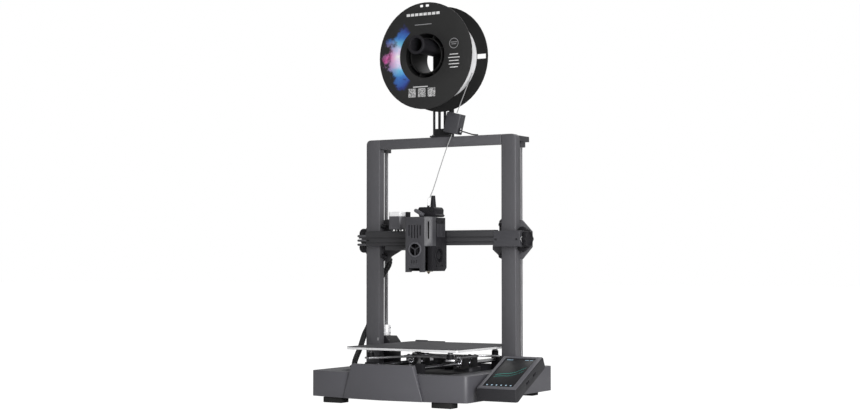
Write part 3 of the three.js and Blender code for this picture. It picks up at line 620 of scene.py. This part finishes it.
# ---- geometry node trees ---------------------------------------------------------------------
def geometry_tree(name, inputs):
    tree = bpy.data.node_groups.new(name, "GeometryNodeTree")
    tree.interface.new_socket(name="Geometry", in_out="INPUT", socket_type="NodeSocketGeometry")
    for label, kind in inputs.items():
        tree.interface.new_socket(name=label, in_out="INPUT", socket_type=kind)
    tree.interface.new_socket(name="Geometry", in_out="OUTPUT", socket_type="NodeSocketGeometry")
    return tree, tree.nodes.new("NodeGroupInput"), tree.nodes.new("NodeGroupOutput")


def end_tree(tree, given, out, instances):
    """Every tree ends the same way: real meshes with their material."""
    real = tree.nodes.new("GeometryNodeRealizeInstances")
    paint = tree.nodes.new("GeometryNodeSetMaterial")
    tree.links.new(instances, real.inputs[0])
    tree.links.new(real.outputs[0], paint.inputs["Geometry"])
    tree.links.new(given.outputs["Material"], paint.inputs["Material"])
    tree.links.new(paint.outputs[0], out.inputs[0])


def screw_tree():
    """A socket screw on every point, its axis along the point's facing attribute."""
    tree, given, out = geometry_tree("Socket screws", {
        "Head radius": "NodeSocketFloat", "Head height": "NodeSocketFloat", "Socket ratio": "NodeSocketFloat",
        "Socket depth": "NodeSocketFloat", "Material": "NodeSocketMaterial",
    })
    head = tree.nodes.new("GeometryNodeMeshCylinder")
    head.inputs["Vertices"].default_value = 18
    tree.links.new(given.outputs["Head radius"], head.inputs["Radius"])
    tree.links.new(given.outputs["Head height"], head.inputs["Depth"])
    normal = tree.nodes.new("GeometryNodeInputNormal")
    split = tree.nodes.new("ShaderNodeSeparateXYZ")
    tree.links.new(normal.outputs[0], split.inputs[0])
    upper = math_node(tree, "GREATER_THAN", split.outputs["Z"], 0.9)
    inset = tree.nodes.new("GeometryNodeExtrudeMesh")
    tree.links.new(head.outputs["Mesh"], inset.inputs["Mesh"])
    tree.links.new(upper, inset.inputs["Selection"])
    inset.inputs["Offset Scale"].default_value = 0.0
    shrink = tree.nodes.new("GeometryNodeScaleElements")
    tree.links.new(inset.outputs["Mesh"], shrink.inputs["Geometry"])
    tree.links.new(inset.outputs["Top"], shrink.inputs["Selection"])
    tree.links.new(given.outputs["Socket ratio"], shrink.inputs["Scale"])
    sink = tree.nodes.new("GeometryNodeExtrudeMesh")
    tree.links.new(shrink.outputs["Geometry"], sink.inputs["Mesh"])
    tree.links.new(inset.outputs["Top"], sink.inputs["Selection"])
    tree.links.new(math_node(tree, "MULTIPLY", given.outputs["Socket depth"], -1.0),
        sink.inputs["Offset Scale"])
    facing = tree.nodes.new("GeometryNodeInputNamedAttribute")
    facing.data_type = "FLOAT_VECTOR"
    facing.inputs["Name"].default_value = "facing"
    turn = tree.nodes.new("FunctionNodeAlignRotationToVector")
    turn.axis = "Z"
    tree.links.new(facing.outputs["Attribute"], turn.inputs["Vector"])
    copies = tree.nodes.new("GeometryNodeInstanceOnPoints")
    tree.links.new(given.outputs["Geometry"], copies.inputs["Points"])
    tree.links.new(sink.outputs["Mesh"], copies.inputs["Instance"])
    tree.links.new(turn.outputs[0], copies.inputs["Rotation"])
    end_tree(tree, given, out, copies.outputs[0])
    return tree


def row_tree():
    """Equal blocks at an even pitch along a path, turned with it."""
    tree, given, out = geometry_tree("Blocks along a path", {
        "Pitch": "NodeSocketFloat", "Block": "NodeSocketVector", "Material": "NodeSocketMaterial",
    })
    curve = tree.nodes.new("GeometryNodeMeshToCurve")
    tree.links.new(given.outputs["Geometry"], curve.inputs["Mesh"])
    spaced = tree.nodes.new("GeometryNodeCurveToPoints")
    spaced.mode = "LENGTH"
    tree.links.new(curve.outputs[0], spaced.inputs["Curve"])
    tree.links.new(given.outputs["Pitch"], spaced.inputs["Length"])
    block = tree.nodes.new("GeometryNodeMeshCube")
    tree.links.new(given.outputs["Block"], block.inputs["Size"])
    turn = tree.nodes.new("FunctionNodeAlignRotationToVector")
    turn.axis = "X"
    tree.links.new(spaced.outputs["Tangent"], turn.inputs["Vector"])
    copies = tree.nodes.new("GeometryNodeInstanceOnPoints")
    tree.links.new(spaced.outputs["Points"], copies.inputs["Points"])
    tree.links.new(block.outputs["Mesh"], copies.inputs["Instance"])
    tree.links.new(turn.outputs[0], copies.inputs["Rotation"])
    end_tree(tree, given, out, copies.outputs[0])
    return tree


def run_tree(name, mesh, tree, values, body, smooth=34):
    """Runs a tree on a carrier mesh and keeps the result as one plain piece."""
    obj = bpy.data.objects.new(name, mesh)
    bpy.context.scene.collection.objects.link(obj)
    modifier = obj.modifiers.new(tree.name, "NODES")
    modifier.node_group = tree
    for item in tree.interface.items_tree:
        if item.item_type == "SOCKET" and item.in_out == "INPUT" and item.name in values:
            modifier[item.identifier] = values[item.name]
    settle(obj)
    obj.data.shade_smooth()
    obj.data.set_sharp_from_angle(angle=math.radians(smooth))
    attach(obj, body)
    return obj


def screws(name, spots, body, scale=1.0, material="bolt"):
    """Socket screws at (place, facing) pairs on one body."""
    fittings = settings().fittings
    mesh = bpy.data.meshes.new(name)
    mesh.from_pydata([at(*place) for place, _ in spots], [], [])
    facing = mesh.attributes.new("facing", "FLOAT_VECTOR", "POINT")
    facing.data.foreach_set("vector", [value for _, direction in spots for value in direction])
    run_tree(name, mesh, bpy.data.node_groups["Socket screws"], {
        "Head radius": fittings.head_radius * scale, "Head height": fittings.head_height * 2 * scale,
        "Socket ratio": fittings.socket_radius / fittings.head_radius,
        "Socket depth": fittings.socket_depth * scale, "Material": MATERIALS[material],
    }, body)


def blocks(name, path, pitch, size, body, material):
    """Blocks at an even pitch along a path of places in the row frame."""
    mesh = bpy.data.meshes.new(name)
    edges = [(i, i + 1) for i in range(len(path) - 1)]
    mesh.from_pydata(path, edges, [])
    run_tree(name, mesh, bpy.data.node_groups["Blocks along a path"],
             {"Pitch": pitch, "Block": size, "Material": MATERIALS[material]}, body)


# ---- pieces -------------------------------------------------------------------------------------
UP, DOWN = (0, 0, 1), (0, 0, -1)
FRONT, BACK = (0, -1, 0), (0, 1, 0)
RIGHT = (1, 0, 0)


class PRINTER_OT_base(bpy.types.Operator):
    """Finishes the base: shell, raised front cover, deck, feet and mains inlet"""
    bl_idname = "printer.base"
    bl_label = "Base"

    def execute(self, context):
        edge = settings().fittings.edge
        coat(("base_shell", "front_cover"), "frame", "cover", edge)
        coat(("deck_tray",), "frame", "deck", edge / 3)
        coat(("bottom_plate",), "frame", "dark powder", edge / 3)
        coat(("power_inlet",), "frame", "black", edge / 3)
        coat(("power_switch",), "switch_rocker", "black", edge / 3)
        feet = [f"foot_{end}_{side}" for end in ("front", "rear") for side in ("left", "right")]
        coat(feet, "frame", "rubber", edge)
        coat(("y_motor",), "frame", "motor", edge / 3)
        coat(("y_rod_left", "y_rod_right"), "frame", "steel", edge / 3)
        coat(("y_belt",), "frame", "rubber", 0)
        self.grommet()
        self.pins()
        screws("base_screws", [((x, y, 10.6), DOWN) for x in (-150, 0, 150) for y in (-150, 135)], "frame",
            1.2)
        return {"FINISHED"}

    def grommet(self):
        """Rubber ring where the cable bundle leaves the base."""
        bm = bmesh.new()
        add_turned(bm, at(-150, -60, 57), UP, [(5.8, 0.1), (9.5, 0.1), (9.2, 1.4), (7.6, 2.6), (6.0, 2.6)],
            32)
        finish_piece("harness_grommet", bm, "frame", "rubber", edge=0.0003)

    def pins(self):
        """Three blades of the mains socket."""
        bm = bmesh.new()
        for x, z in ((-122.5, 25), (-116.5, 29), (-110.5, 25)):
            add_block(bm, (x - 0.9, 140, z - 2.4), (x + 0.9, 149, z + 2.4))
        finish_piece("mains_blades", bm, "frame", "steel", edge=0.0003)


class PRINTER_OT_bed(bpy.types.Operator):
    """Finishes the moving bed: carriage, heated plate and removable sheet"""
    bl_idname = "printer.bed"
    bl_label = "Bed"

    def execute(self, context):
        coat(("bed_carriage",), "bed", "stamped", 0.0005)
        coat(("heatbed",), "bed", "edge", 0.0003)
        coat(("build_plate",), "bed", "sheet", 0.0004)
        self.column_sleeves()
        self.bearings()
        spots = [((side * x, y, 79.5), UP) for side in (-1, 1) for x in (46, 58) for y in (-14, 2, 20, 36)]
        screws("carriage_screws", spots, "bed", 1.1)
        return {"FINISHED"}

    def column_sleeves(self):
        """Black spacers round the four columns under the plate."""
        bm = bmesh.new()
        for x in (-85, 85):
            for y in (-105, 65):
                add_turned(bm, at(x, y, 79.7), UP, [(5.0, 0), (6.4, 0), (6.4, 8.5), (5.0, 8.5)], 24)
        finish_piece("column_sleeves", bm, "bed", "black", edge=0.0004)

    def bearings(self):
        """Bright ball-bearing ends in the carriage's four blocks."""
        bm = bmesh.new()
        for x in (-52, 52):
            for y in (-18.4, 5.2, 15.6, 39.2):
                add_turned(bm, at(x, y, 66), BACK, [(4.6, 0), (7.6, 0), (7.6, 1.2), (4.6, 1.2)], 28)
        finish_piece("bearing_ends", bm, "bed", "steel", edge=0.0002)


class PRINTER_OT_frame(bpy.types.Operator):
    """Finishes the uprights, top beam, bearing blocks and left Z motor with its cover"""
    bl_idname = "printer.frame"
    bl_label = "Frame"

    def execute(self, context):
        coat(("upright_left", "upright_right", "top_beam"), "frame", "powder", 0.0012)
        coat(("top_bearing_left", "top_bearing_right"), "frame", "dark powder", 0.0008)
        coat(("z_motor_cover",), "frame", "black", 0.0008)
        coat(("z_motor_left",), "frame", "motor", 0.0004)
        spots = [((side * 148, 18, z), BACK) for side in (-1, 1) for z in (70, 84, 455)]
        screws("frame_screws", spots, "frame", 1.2)
        screws("cover_screws", [((-131, 30, 103.6), (0.6, 0, 0.8)), ((-131, 64, 103.6), (0.6, 0, 0.8))],
            "frame", 0.9)
        self.mark()
        return {"FINISHED"}

    def mark(self):
        """Small light tag low on the left upright."""
        bm = bmesh.new()
        corners = [at(x, -0.02, z) for x, z in ((-137.5, 104), (-133.6, 104), (-133.6, 109.5),
            (-137.5, 109.5))]
        add_slab(bm, corners, 0.0001)
        finish_piece("upright_tag", bm, "frame", "grey ink")


class PRINTER_OT_screws(bpy.types.Operator):
    """Cuts the real thread of the two lead screws and finishes the coupling"""
    bl_idname = "printer.lead_screws"
    bl_label = "Lead screws"

    def execute(self, context):
        for side in ("left", "right"):
            self.thread(f"lead_screw_{side}", f"screw_{side}")
        coat(("coupling_left",), "screw_left", "edge", 0.0006)
        spots = [((-148, 40.4, 117), FRONT), ((-148, 40.4, 127), FRONT), ((-139.4, 49, 117), RIGHT),
            ((-139.4, 49, 127), RIGHT)]
        screws("coupling_screws", spots, "screw_left", 0.7, "steel")
        return {"FINISHED"}

    def thread(self, node, body):
        """A rod whose radius follows a helix of several starts."""
        fittings = settings().fittings
        low, high = (Vector(corner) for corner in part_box(node))
        axis = (low + high) / 2
        outer = (high.x - low.x) / 2 - 0.00002
        root = outer - 0.0007
        sides = 16
        step = fittings.thread_pitch / 4
        count = int((high.z - low.z) / step)
        bm = bmesh.new()
        rings = []
        for i in range(count + 1):
            z = low.z + min(i * step, high.z - low.z)
            ring = []
            for j in range(sides):
                turn = j / sides
                phase = (z / fittings.thread_pitch - turn * fittings.thread_starts) % 1
                ridge = min(1.0, max(0.0, 1.6 - abs(phase - 0.5) * 5))
                r = root + (outer - root) * ridge
                angle = 2 * math.pi * turn
                ring.append(bm.verts.new((axis.x + r * math.cos(angle), axis.y + r * math.sin(angle), z)))
            rings.append(ring)
        for near, far in zip(rings, rings[1:]):
            for j in range(sides):
                k = (j + 1) % sides
                bm.faces.new((near[j], near[k], far[k], far[j]))
        bm.faces.new(list(reversed(rings[0])))
        bm.faces.new(rings[-1])
        finish_piece(f"{node}_thread", bm, body, "thread", (node,), smooth=50)


class PRINTER_OT_gantry(bpy.types.Operator):
    """Finishes the X beam, its brackets, wheels, motor, belt and tension knob"""
    bl_idname = "printer.gantry"
    bl_label = "Gantry"

    def execute(self, context):
        coat(("x_beam",), "gantry", "beam", 0.0005)
        coat(("x_bracket_left",), "gantry", "dark powder", 0.0005)
        coat(("x_bracket_right",), "gantry", "powder", 0.0005)
        coat(("x_end_cover",), "gantry", "head cover", 0.0008)
        coat(("x_motor",), "gantry", "motor", 0.0003)
        coat(("x_belt",), "gantry", "rubber", 0)
        coat(("x_tension_knob",), "tension_knob", "black", 0.0008)
        for side in ("left", "right"):
            for place in ("inner_upper", "inner_lower", "outer_upper", "outer_lower"):
                wheel = f"wheel_{side}_{place}"
                coat((wheel,), f"{wheel}_roller", "black", 0.0004)
        self.motor_cap()
        self.fins()
        self.arrow()
        self.fasten()
        return {"FINISHED"}

    def motor_cap(self):
        """Pale cast cap over the X motor, and its plug."""
        bm = bmesh.new()
        half, cut = 14.15, 3.1
        corners = [
            (-half, -half + cut), (-half + cut, -half), (half - cut, -half), (half, -half + cut),
            (half, half - cut), (half - cut, half), (-half + cut, half), (-half, half - cut),
        ]
        add_slab(bm, [at(-83.3 + x, -11 + y, 341.5) for x, y in corners], 0.0087)
        finish_piece("x_motor_cap", bm, "gantry", "bell", edge=0.0007)
        bm = bmesh.new()
        add_block(bm, (-69.6, -7.3, 337.6), (-63.7, 2.3, 350.4))
        finish_piece("x_motor_plug", bm, "gantry", "black", edge=0.0006)

    def fins(self):
        """Rounded guard bars at the beam's left end."""
        bm = bmesh.new()
        for z in (288.4, 296.4, 305.0):
            route = [at(x, y, z) for x, y in ((-150, -19.5), (-163, -19.2), (-170.5, -16.5), (-173.6, -11),
                (-173.6, -4))]
            add_tube(bm, route, 0.0022, 10)
        finish_piece("beam_guard", bm, "gantry", "powder", smooth=50)

    def arrow(self):
        """Raised arrow on the right end cover."""
        bm = bmesh.new()
        for side in (-1, 1):
            corners = [
                at(182, y, z) for y, z in
                ((-18.6, 297), (-13.5, 297 + side * 5), (-12.1, 297 + side * 3.6), (-15.8, 297))]
            if side > 0:
                corners.reverse()
            add_slab(bm, corners, 0.0004)
        finish_piece("turn_arrow", bm, "gantry", "ink")

    def fasten(self):
        inner, outer = 128.2, 173.3
        for name, scale, spots in (
            ("small_wheel_bolts", 0.8, ((inner, 324), (inner, 266))),
            ("wheel_bolts", 1.3, ((outer, 310), (outer, 283))),
        ):
            screws(name, [((side * x, 3, z), FRONT) for side in (-1, 1) for x, z in spots], "gantry", scale)
        spots = [((side * x, 24, z), BACK) for side in (-1, 1)
                 for x, z in ((inner, 324), (inner, 266), (outer, 310), (outer, 283), (148, 292),
                         (134, 296), (124, 296))]
        screws("plate_nuts", spots, "gantry", 1.4, "steel")
        screws("beam_screws", [((x, -21.2, 296.2), FRONT) for x in (-146, 133, 176)], "gantry", 0.8)


class PRINTER_OT_head(bpy.types.Operator):
    """Finishes the print head: cover, body, fans, extruder, lever and nozzle"""
    bl_idname = "printer.head"
    bl_label = "Print head"

    def execute(self, context):
        coat(("head_cover",), "head", "head cover", 0.0005)
        coat(("head_body",), "head", "black", 0.0012)
        coat(("extruder",), "head", "black", 0.0012)
        coat(("nozzle",), "head", "brass", 0.0002)
        coat(("front_fan",), "fan_front", "black", 0.0002)
        coat(("side_fan",), "fan_side", "black", 0.0002)
        coat(("extruder_lever",), "lever", "cover", 0.0006)
        self.rings()
        self.louvres()
        self.guide()
        spots = [((29.9, y, z), RIGHT) for y in (-58.5, -38) for z in (248, 330)]
        screws("head_side_screws", spots, "head", 0.9)
        screws("extruder_screws", [((x, -61.4, 350.5), FRONT) for x in (-5, 21)], "head", 1.1)
        return {"FINISHED"}

    def rings(self):
        """Raised rims round the front grille and the blower's mouth."""
        bm = bmesh.new()
        add_turned(bm, at(-2, -84.4, 277.5), FRONT,
            [(11.2, 0), (14.2, 0), (13.8, 1.2), (11.8, 1.5), (11.2, 1.2)], 40)
        finish_piece("grille_rim", bm, "head", "cover", edge=0.0002)
        bm = bmesh.new()
        add_turned(bm, at(30, -49, 267), RIGHT, [(13.0, -0.2), (16.0, -0.2), (15.6, 0.7), (13.4, 0.7)], 40)
        add_turned(bm, at(22, -49, 267), RIGHT, [(12.4, -0.4), (12.95, -0.4), (12.95, 7.6), (12.4, 7.6)], 40)
        finish_piece("blower_rim", bm, "head", "black", edge=0.0002)

    def louvres(self):
        """Rows of slats on the head's right side and on its left."""
        block = (0.0022, 0.0009, 0.024)
        blocks("side_louvres_right", [at(30.1, -57, 313), at(30.1, -32, 313)], 0.0042, block,
               "head", "head cover")
        blocks("side_louvres_left", [at(-23.1, -57, 290), at(-23.1, -32, 290)], 0.0042,
            (0.0022, 0.0009, 0.05),
               "head", "black")

    def guide(self):
        """Pale guide tube that leads the filament into the extruder."""
        route = smooth_route([(2.5, -43, 359.5), (2.2, -43.1, 364), (2.6, -42.8, 369), (4.0, -42.0, 374.5)],
            0.001)
        bm = bmesh.new()
        add_tube(bm, route, 0.0018, 12)
        finish_piece("filament_guide", bm, "head", "bell", smooth=50)


class PRINTER_OT_spool(bpy.types.Operator):
    """Finishes the reel, its printed card, the wound filament, bracket and tube"""
    bl_idname = "printer.spool"
    bl_label = "Spool"

    def execute(self, context):
        coat(("spool",), "spool_reel", "card", 0.0004)
        coat(("spool_bracket",), "frame", "bracket", 0.0006)
        coat(("spool_tube",), "frame", "black", 0.0008)
        self.prints()
        self.winding()
        screws("bracket_screws", [((-15, 6, 494.3), UP), ((20, 6, 494.3), UP)], "frame", 1.2)
        screws("tube_screws", [((x, 15, 656.2), BACK) for x in (-8, 11)], "frame", 1.3)
        return {"FINISHED"}

    def prints(self):
        """Plain bars, cells and a ring where a maker would print."""
        front = SPOOL_BOX[0][1] - 0.00002

        def bar(bm, x, z, width, height):
            corners = [
                Vector((SPOOL_CENTRE.x + u / 1000, front, SPOOL_CENTRE.z + v / 1000))
                for u, v in ((x, z), (x + width, z), (x + width, z + height), (x, z + height))]
            add_slab(bm, corners, 0.00008)
        bm = bmesh.new()
        for i in range(3):
            bar(bm, -36 + i * 21, -77, 16, 16.5)
        finish_piece("spool_cells", bm, "spool_reel", "cells")
        bm = bmesh.new()
        for i in range(8):
            bar(bm, -40 + i * 9.2, 75.5, 7.2, 5.0)
        for row, width in enumerate((18, 24, 20, 22, 17)):
            bar(bm, 62 - width / 2, -2 - row * 6, width, 1.5)
        bar(bm, -26, -58.5, 32, 1.6)
        finish_piece("spool_bars", bm, "spool_reel", "ink")
        bm = bmesh.new()
        centre = Vector((SPOOL_CENTRE.x + 0.062, front, SPOOL_CENTRE.z + 0.019))
        add_turned(bm, centre, FRONT, [(8.6, 0), (9.6, 0), (9.6, 0.08), (8.6, 0.08)], 40)
        bar(bm, 55.5, 20.5, 13, 1.2)
        bar(bm, 57, 17, 10, 1.2)
        bar(bm, -22, 58, 36, 1.3)
        finish_piece("spool_badge", bm, "spool_reel", "grey ink")

    def winding(self):
        """Wound filament: a ripple for every strand, climbing one strand each turn."""
        low, high = (Vector(corner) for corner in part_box("filament_winding"))
        outer = (high.x - low.x) / 2
        bore = 0.0455
        strand = settings().lines.filament
        turns = int((high.y - low.y) / strand)
        samples = turns * 4
        sides = 112
        bm = bmesh.new()
        rings = []
        for i in range(sides):
            angle = 2 * math.pi * i / sides
            spoke = Vector((math.cos(angle), 0, math.sin(angle)))
            ring = []
            for j in range(samples + 1):
                y = low.y + (high.y - low.y) * j / samples
                wave = abs(math.sin(math.pi * ((y - low.y) / strand - i / sides)))
                inner_end = 1.0 if 0 < j < samples else 0.0
                r = outer - strand * 0.3 * (1 - wave) * inner_end - 0.00002
                ring.append(bm.verts.new(Vector((SPOOL_CENTRE.x, y, SPOOL_CENTRE.z)) + spoke * r))
            for y in (high.y, low.y):
                ring.append(bm.verts.new(Vector((SPOOL_CENTRE.x, y, SPOOL_CENTRE.z)) + spoke * bore))
            rings.append(ring)
        count = len(rings[0])
        for i in range(sides):
            after = rings[(i + 1) % sides]
            for j in range(count):
                k = (j + 1) % count
                bm.faces.new((rings[i][j], rings[i][k], after[k], after[j]))
        bmesh.ops.recalc_face_normals(bm, faces=bm.faces)
        finish_piece("wound_filament", bm, "spool_reel", "strand", ("filament_winding",),
            smooth=60)


class PRINTER_OT_sensor(bpy.types.Operator):
    """Finishes the filament sensor and its plug"""
    bl_idname = "printer.sensor"
    bl_label = "Filament sensor"

    def execute(self, context):
        coat(("filament_sensor",), "frame", "head cover", 0.0012)
        lean = Matrix.Rotation(math.radians(14), 3, "Y")
        centre = at(35.6, -3, 515.2)

        def spot(x, y, z):
            return centre + lean @ Vector((x, y, z)) / 1000

        bm = bmesh.new()
        corners = [spot(15, y, z) for y, z in ((-5, -17), (5, -17), (5, -6), (-5, -6))]
        add_slab(bm, corners, 0.0012)
        finish_piece("sensor_plug", bm, "frame", "black", edge=0.0003)
        bm = bmesh.new()
        for z in (-14, -9):
            corners = [spot(16.2, y, z + dz) for y, dz in ((-2, 0), (2, 0), (2, 2.4), (-2, 2.4))]
            add_slab(bm, corners, 0.0003)
        finish_piece("sensor_contacts", bm, "frame", "strand")
        return {"FINISHED"}


class PRINTER_OT_screen(bpy.types.Operator):
    """Finishes the tilted screen: housing, glass and what it shows"""
    bl_idname = "printer.screen"
    bl_label = "Screen"

    def execute(self, context):
        coat(("display_housing",), "frame", "dark cover", 0.0012)
        coat(("display_glass",), "frame", "glass", 0.0002)
        self.bezel()
        self.traces()
        self.icons()
        return {"FINISHED"}

    def bezel(self):
        """Grey frame round the glass, with a lip along its lower front."""
        bm = bmesh.new()
        loops = (
            ((-6.6, -8.6), (68.8, -8.6), (68.8, 105.5), (-6.6, 105.5)),
            ((-0.4, -0.4), (59.6, -0.4), (59.6, 99.1), (-0.4, 99.1)),
        )
        rings = [
            [bm.verts.new(on_screen(*corner, proud)) for corner in loop]
            for loop in loops for proud in (0.1, 1.0)]
        outer_low, outer_high, inner_low, inner_high = rings
        for i in range(4):
            j = (i + 1) % 4
            for near, far in ((outer_low, outer_high), (outer_high, inner_high), (inner_high, inner_low),
                              (inner_low, outer_low)):
                bm.faces.new((near[i], near[j], far[j], far[i]))
        bmesh.ops.recalc_face_normals(bm, faces=bm.faces)
        finish_piece("screen_bezel", bm, "frame", "bezel", edge=0.0003)

    def traces(self):
        """Two faint curves that climb to the right."""
        bm = bmesh.new()
        for start, rise, thick in ((40, 26, 1.0), (33, 20, 0.7)):
            count = 24
            for i in range(count):
                quad = []
                for j in (i, i + 1):
                    u = j / count
                    along = start + rise * u * u + 2.5 * math.sin(u * 7)
                    quad.append((6 + 48 * u, along))
                (x0, a0), (x1, a1) = quad
                add_slab(bm, [on_screen(x0, a0, 0.02), on_screen(x1, a1, 0.02),
                              on_screen(x1, a1 + thick, 0.02), on_screen(x0, a0 + thick, 0.02)], 0.00006)
        bmesh.ops.remove_doubles(bm, verts=bm.verts, dist=1e-6)
        finish_piece("screen_traces", bm, "frame", "teal")

    def icons(self):
        """A row of small icons below, and a title line above."""
        bm = bmesh.new()
        for i in range(6):
            x = 5 + i * 9.2
            add_slab(bm, [on_screen(x, 4, 0.02), on_screen(x + 3, 4, 0.02),
                          on_screen(x + 3, 7, 0.02), on_screen(x, 7, 0.02)], 0.00006)
        for x, width in ((4, 12), (40, 8), (50, 5)):
            add_slab(bm, [on_screen(x, 93, 0.02), on_screen(x + width, 93, 0.02),
                          on_screen(x + width, 94.4, 0.02), on_screen(x, 94.4, 0.02)], 0.00006)
        finish_piece("screen_icons", bm, "frame", "icon")


class PRINTER_OT_lines(bpy.types.Operator):
    """Runs the filament, the sensor's lead and the sleeved cable bundle"""
    bl_idname = "printer.lines"
    bl_label = "Filament and cables"

    def execute(self, context):
        lines = settings().lines
        upper = smooth_route(SPOOL_TO_SENSOR, 0.002)
        self.line("filament_top", upper, lines.filament, "line", "white_filament", ("filament_upper",),
            "medium")
        lower = smooth_route(SENSOR_TO_HEAD, 0.002)
        split = next(i for i, point in enumerate(lower) if point.z < at(0, 0, FILAMENT_SPLIT).z)
        top = self.line("filament_to_gantry", lower[:split + 1], lines.filament, "line", "white_filament",
                        ("filament_lower",), "medium", body=None)
        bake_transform(top)
        low = self.line("filament_to_head", lower[split:], lines.filament, "line", "white_filament",
                        (), "medium", body=None)
        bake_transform(low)
        self.line("sensor_lead", smooth_route(SENSOR_LEAD, 0.0015), lines.lead, "sleeve", "rubber",
                  ("sensor_cable",), "limp")
        route = smooth_route(HARNESS, 0.0012)
        bundle = self.line("cable_bundle", route, lines.harness, "sleeve", "rubber", ("cable_harness",),
            "medium",
                           body=None, sides=20, wrap=(lines.wrap_pitch, 0.0007))
        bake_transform(bundle)
        return {"FINISHED"}

    def line(self, name, route, diameter, material, slot, replaces, stiffness, body="frame", sides=10,
            wrap=None):
        bm = bmesh.new()
        add_tube(bm, route, diameter / 2, sides, wrap)
        obj = finish_piece(name, bm, body, material, replaces, smooth=60)
        return obj


class PRINTER_OT_stage(bpy.types.Operator):
    """Sets the camera, the pale floor and the studio lights"""
    bl_idname = "printer.stage"
    bl_label = "Stage"

    def execute(self, context):
        self.camera(context)
        self.floor()
        self.lights()
        self.room(context)
        return {"FINISHED"}

    def camera(self, context):
        stage = settings().stage
        data = bpy.data.cameras.new("Camera")
        data.lens = stage.lens
        data.sensor_width = 36
        data.clip_end = 30
        camera = bpy.data.objects.new("Camera", data)
        camera.location = at(1460.7, -2506.4, 250.6)
        camera.rotation_euler = (math.pi / 2 + stage.lift, 0, stage.heading)
        context.scene.collection.objects.link(camera)
        context.scene.camera = camera

    def floor(self):
        bm = bmesh.new()
        bmesh.ops.create_grid(bm, x_segments=1, y_segments=1, size=14)
        mesh = bpy.data.meshes.new("Floor")
        bm.to_mesh(mesh)
        bm.free()
        material, tree, shader, place = blank("Pale floor")
        shader.inputs["Base Color"].default_value = (0.9, 0.9, 0.9, 1)
        shader.inputs["Roughness"].default_value = 0.9
        shader.inputs["Specular IOR Level"].default_value = 0.1
        glow = tree.nodes.new("ShaderNodeEmission")
        glow.inputs["Strength"].default_value = 1.15
        path = tree.nodes.new("ShaderNodeLightPath")
        both = tree.nodes.new("ShaderNodeMixShader")
        tree.links.new(math_node(tree, "MULTIPLY", path.outputs["Is Camera Ray"], 0.9), both.inputs[0])
        tree.links.new(shader.outputs[0], both.inputs[1])
        tree.links.new(glow.outputs[0], both.inputs[2])
        tree.links.new(both.outputs[0], tree.nodes["Material Output"].inputs["Surface"])
        mesh.materials.append(material)
        floor = bpy.data.objects.new("Floor", mesh)
        bpy.context.scene.collection.objects.link(floor)

    def lights(self):
        stage = settings().stage
        aim = at(0, 0, 300)
        for name, power, place, size in (
            ("Key light", stage.key, at(1900, -1900, 450), (0.9, 1.2)),
            ("Side light", stage.side, at(2100, -1500, 1000), (1.4, 1.8)),
            ("Back light", stage.back, at(-300, 1900, 1900), (2.4, 1.2)),
        ):
            data = bpy.data.lights.new(name, "AREA")
            data.shape = "RECTANGLE"
            data.size, data.size_y = size
            data.energy = power
            light = bpy.data.objects.new(name, data)
            light.location = place
            light.rotation_euler = (aim - place).to_track_quat("-Z", "Y").to_euler()
            bpy.context.scene.collection.objects.link(light)

    def room(self, context):
        world = bpy.data.worlds.new("Studio")
        world.use_nodes = True
        tree = world.node_tree
        back = tree.nodes["Background"]
        back.inputs["Color"].default_value = (1, 1, 1, 1)
        path = tree.nodes.new("ShaderNodeLightPath")
        strength = math_node(tree, "MULTIPLY_ADD", path.outputs["Is Camera Ray"], 1 - settings().stage.room,
                             settings().stage.room)
        tree.links.new(strength, back.inputs["Strength"])
        context.scene.world = world
        context.scene.view_settings.view_transform = "Standard"


class PRINTER_PT_panel(bpy.types.Panel):
    """Lists the printer's pieces"""
    bl_label = "Filament printer"
    bl_idname = "PRINTER_PT_panel"
    bl_space_type = "VIEW_3D"
    bl_region_type = "UI"
    bl_category = "Printer"

    def draw(self, context):
        for operator in OPERATORS:
            self.layout.operator(operator.bl_idname)


OPERATORS = (
    PRINTER_OT_stage, PRINTER_OT_lines, PRINTER_OT_base, PRINTER_OT_bed, PRINTER_OT_frame, PRINTER_OT_screws,
    PRINTER_OT_gantry, PRINTER_OT_head, PRINTER_OT_spool, PRINTER_OT_sensor, PRINTER_OT_screen,
)
CLASSES = (
    PrinterColours, PrinterFittings, PrinterLines, PrinterStage, PrinterSettings, *OPERATORS,
    PRINTER_PT_panel,
)


def register():
    for cls in CLASSES:
        bpy.utils.register_class(cls)
    bpy.types.Scene.printer = PointerProperty(type=PrinterSettings)


def unregister():
    del bpy.types.Scene.printer
    for cls in reversed(CLASSES):
        bpy.utils.unregister_class(cls)


def main():
    register()
    MATERIALS.update(make_materials())
    screw_tree()
    row_tree()
    for operator in OPERATORS:
        group, name = operator.bl_idname.split(".")
        getattr(getattr(bpy.ops, group), name)()


if __name__ == "__main__":
    main()
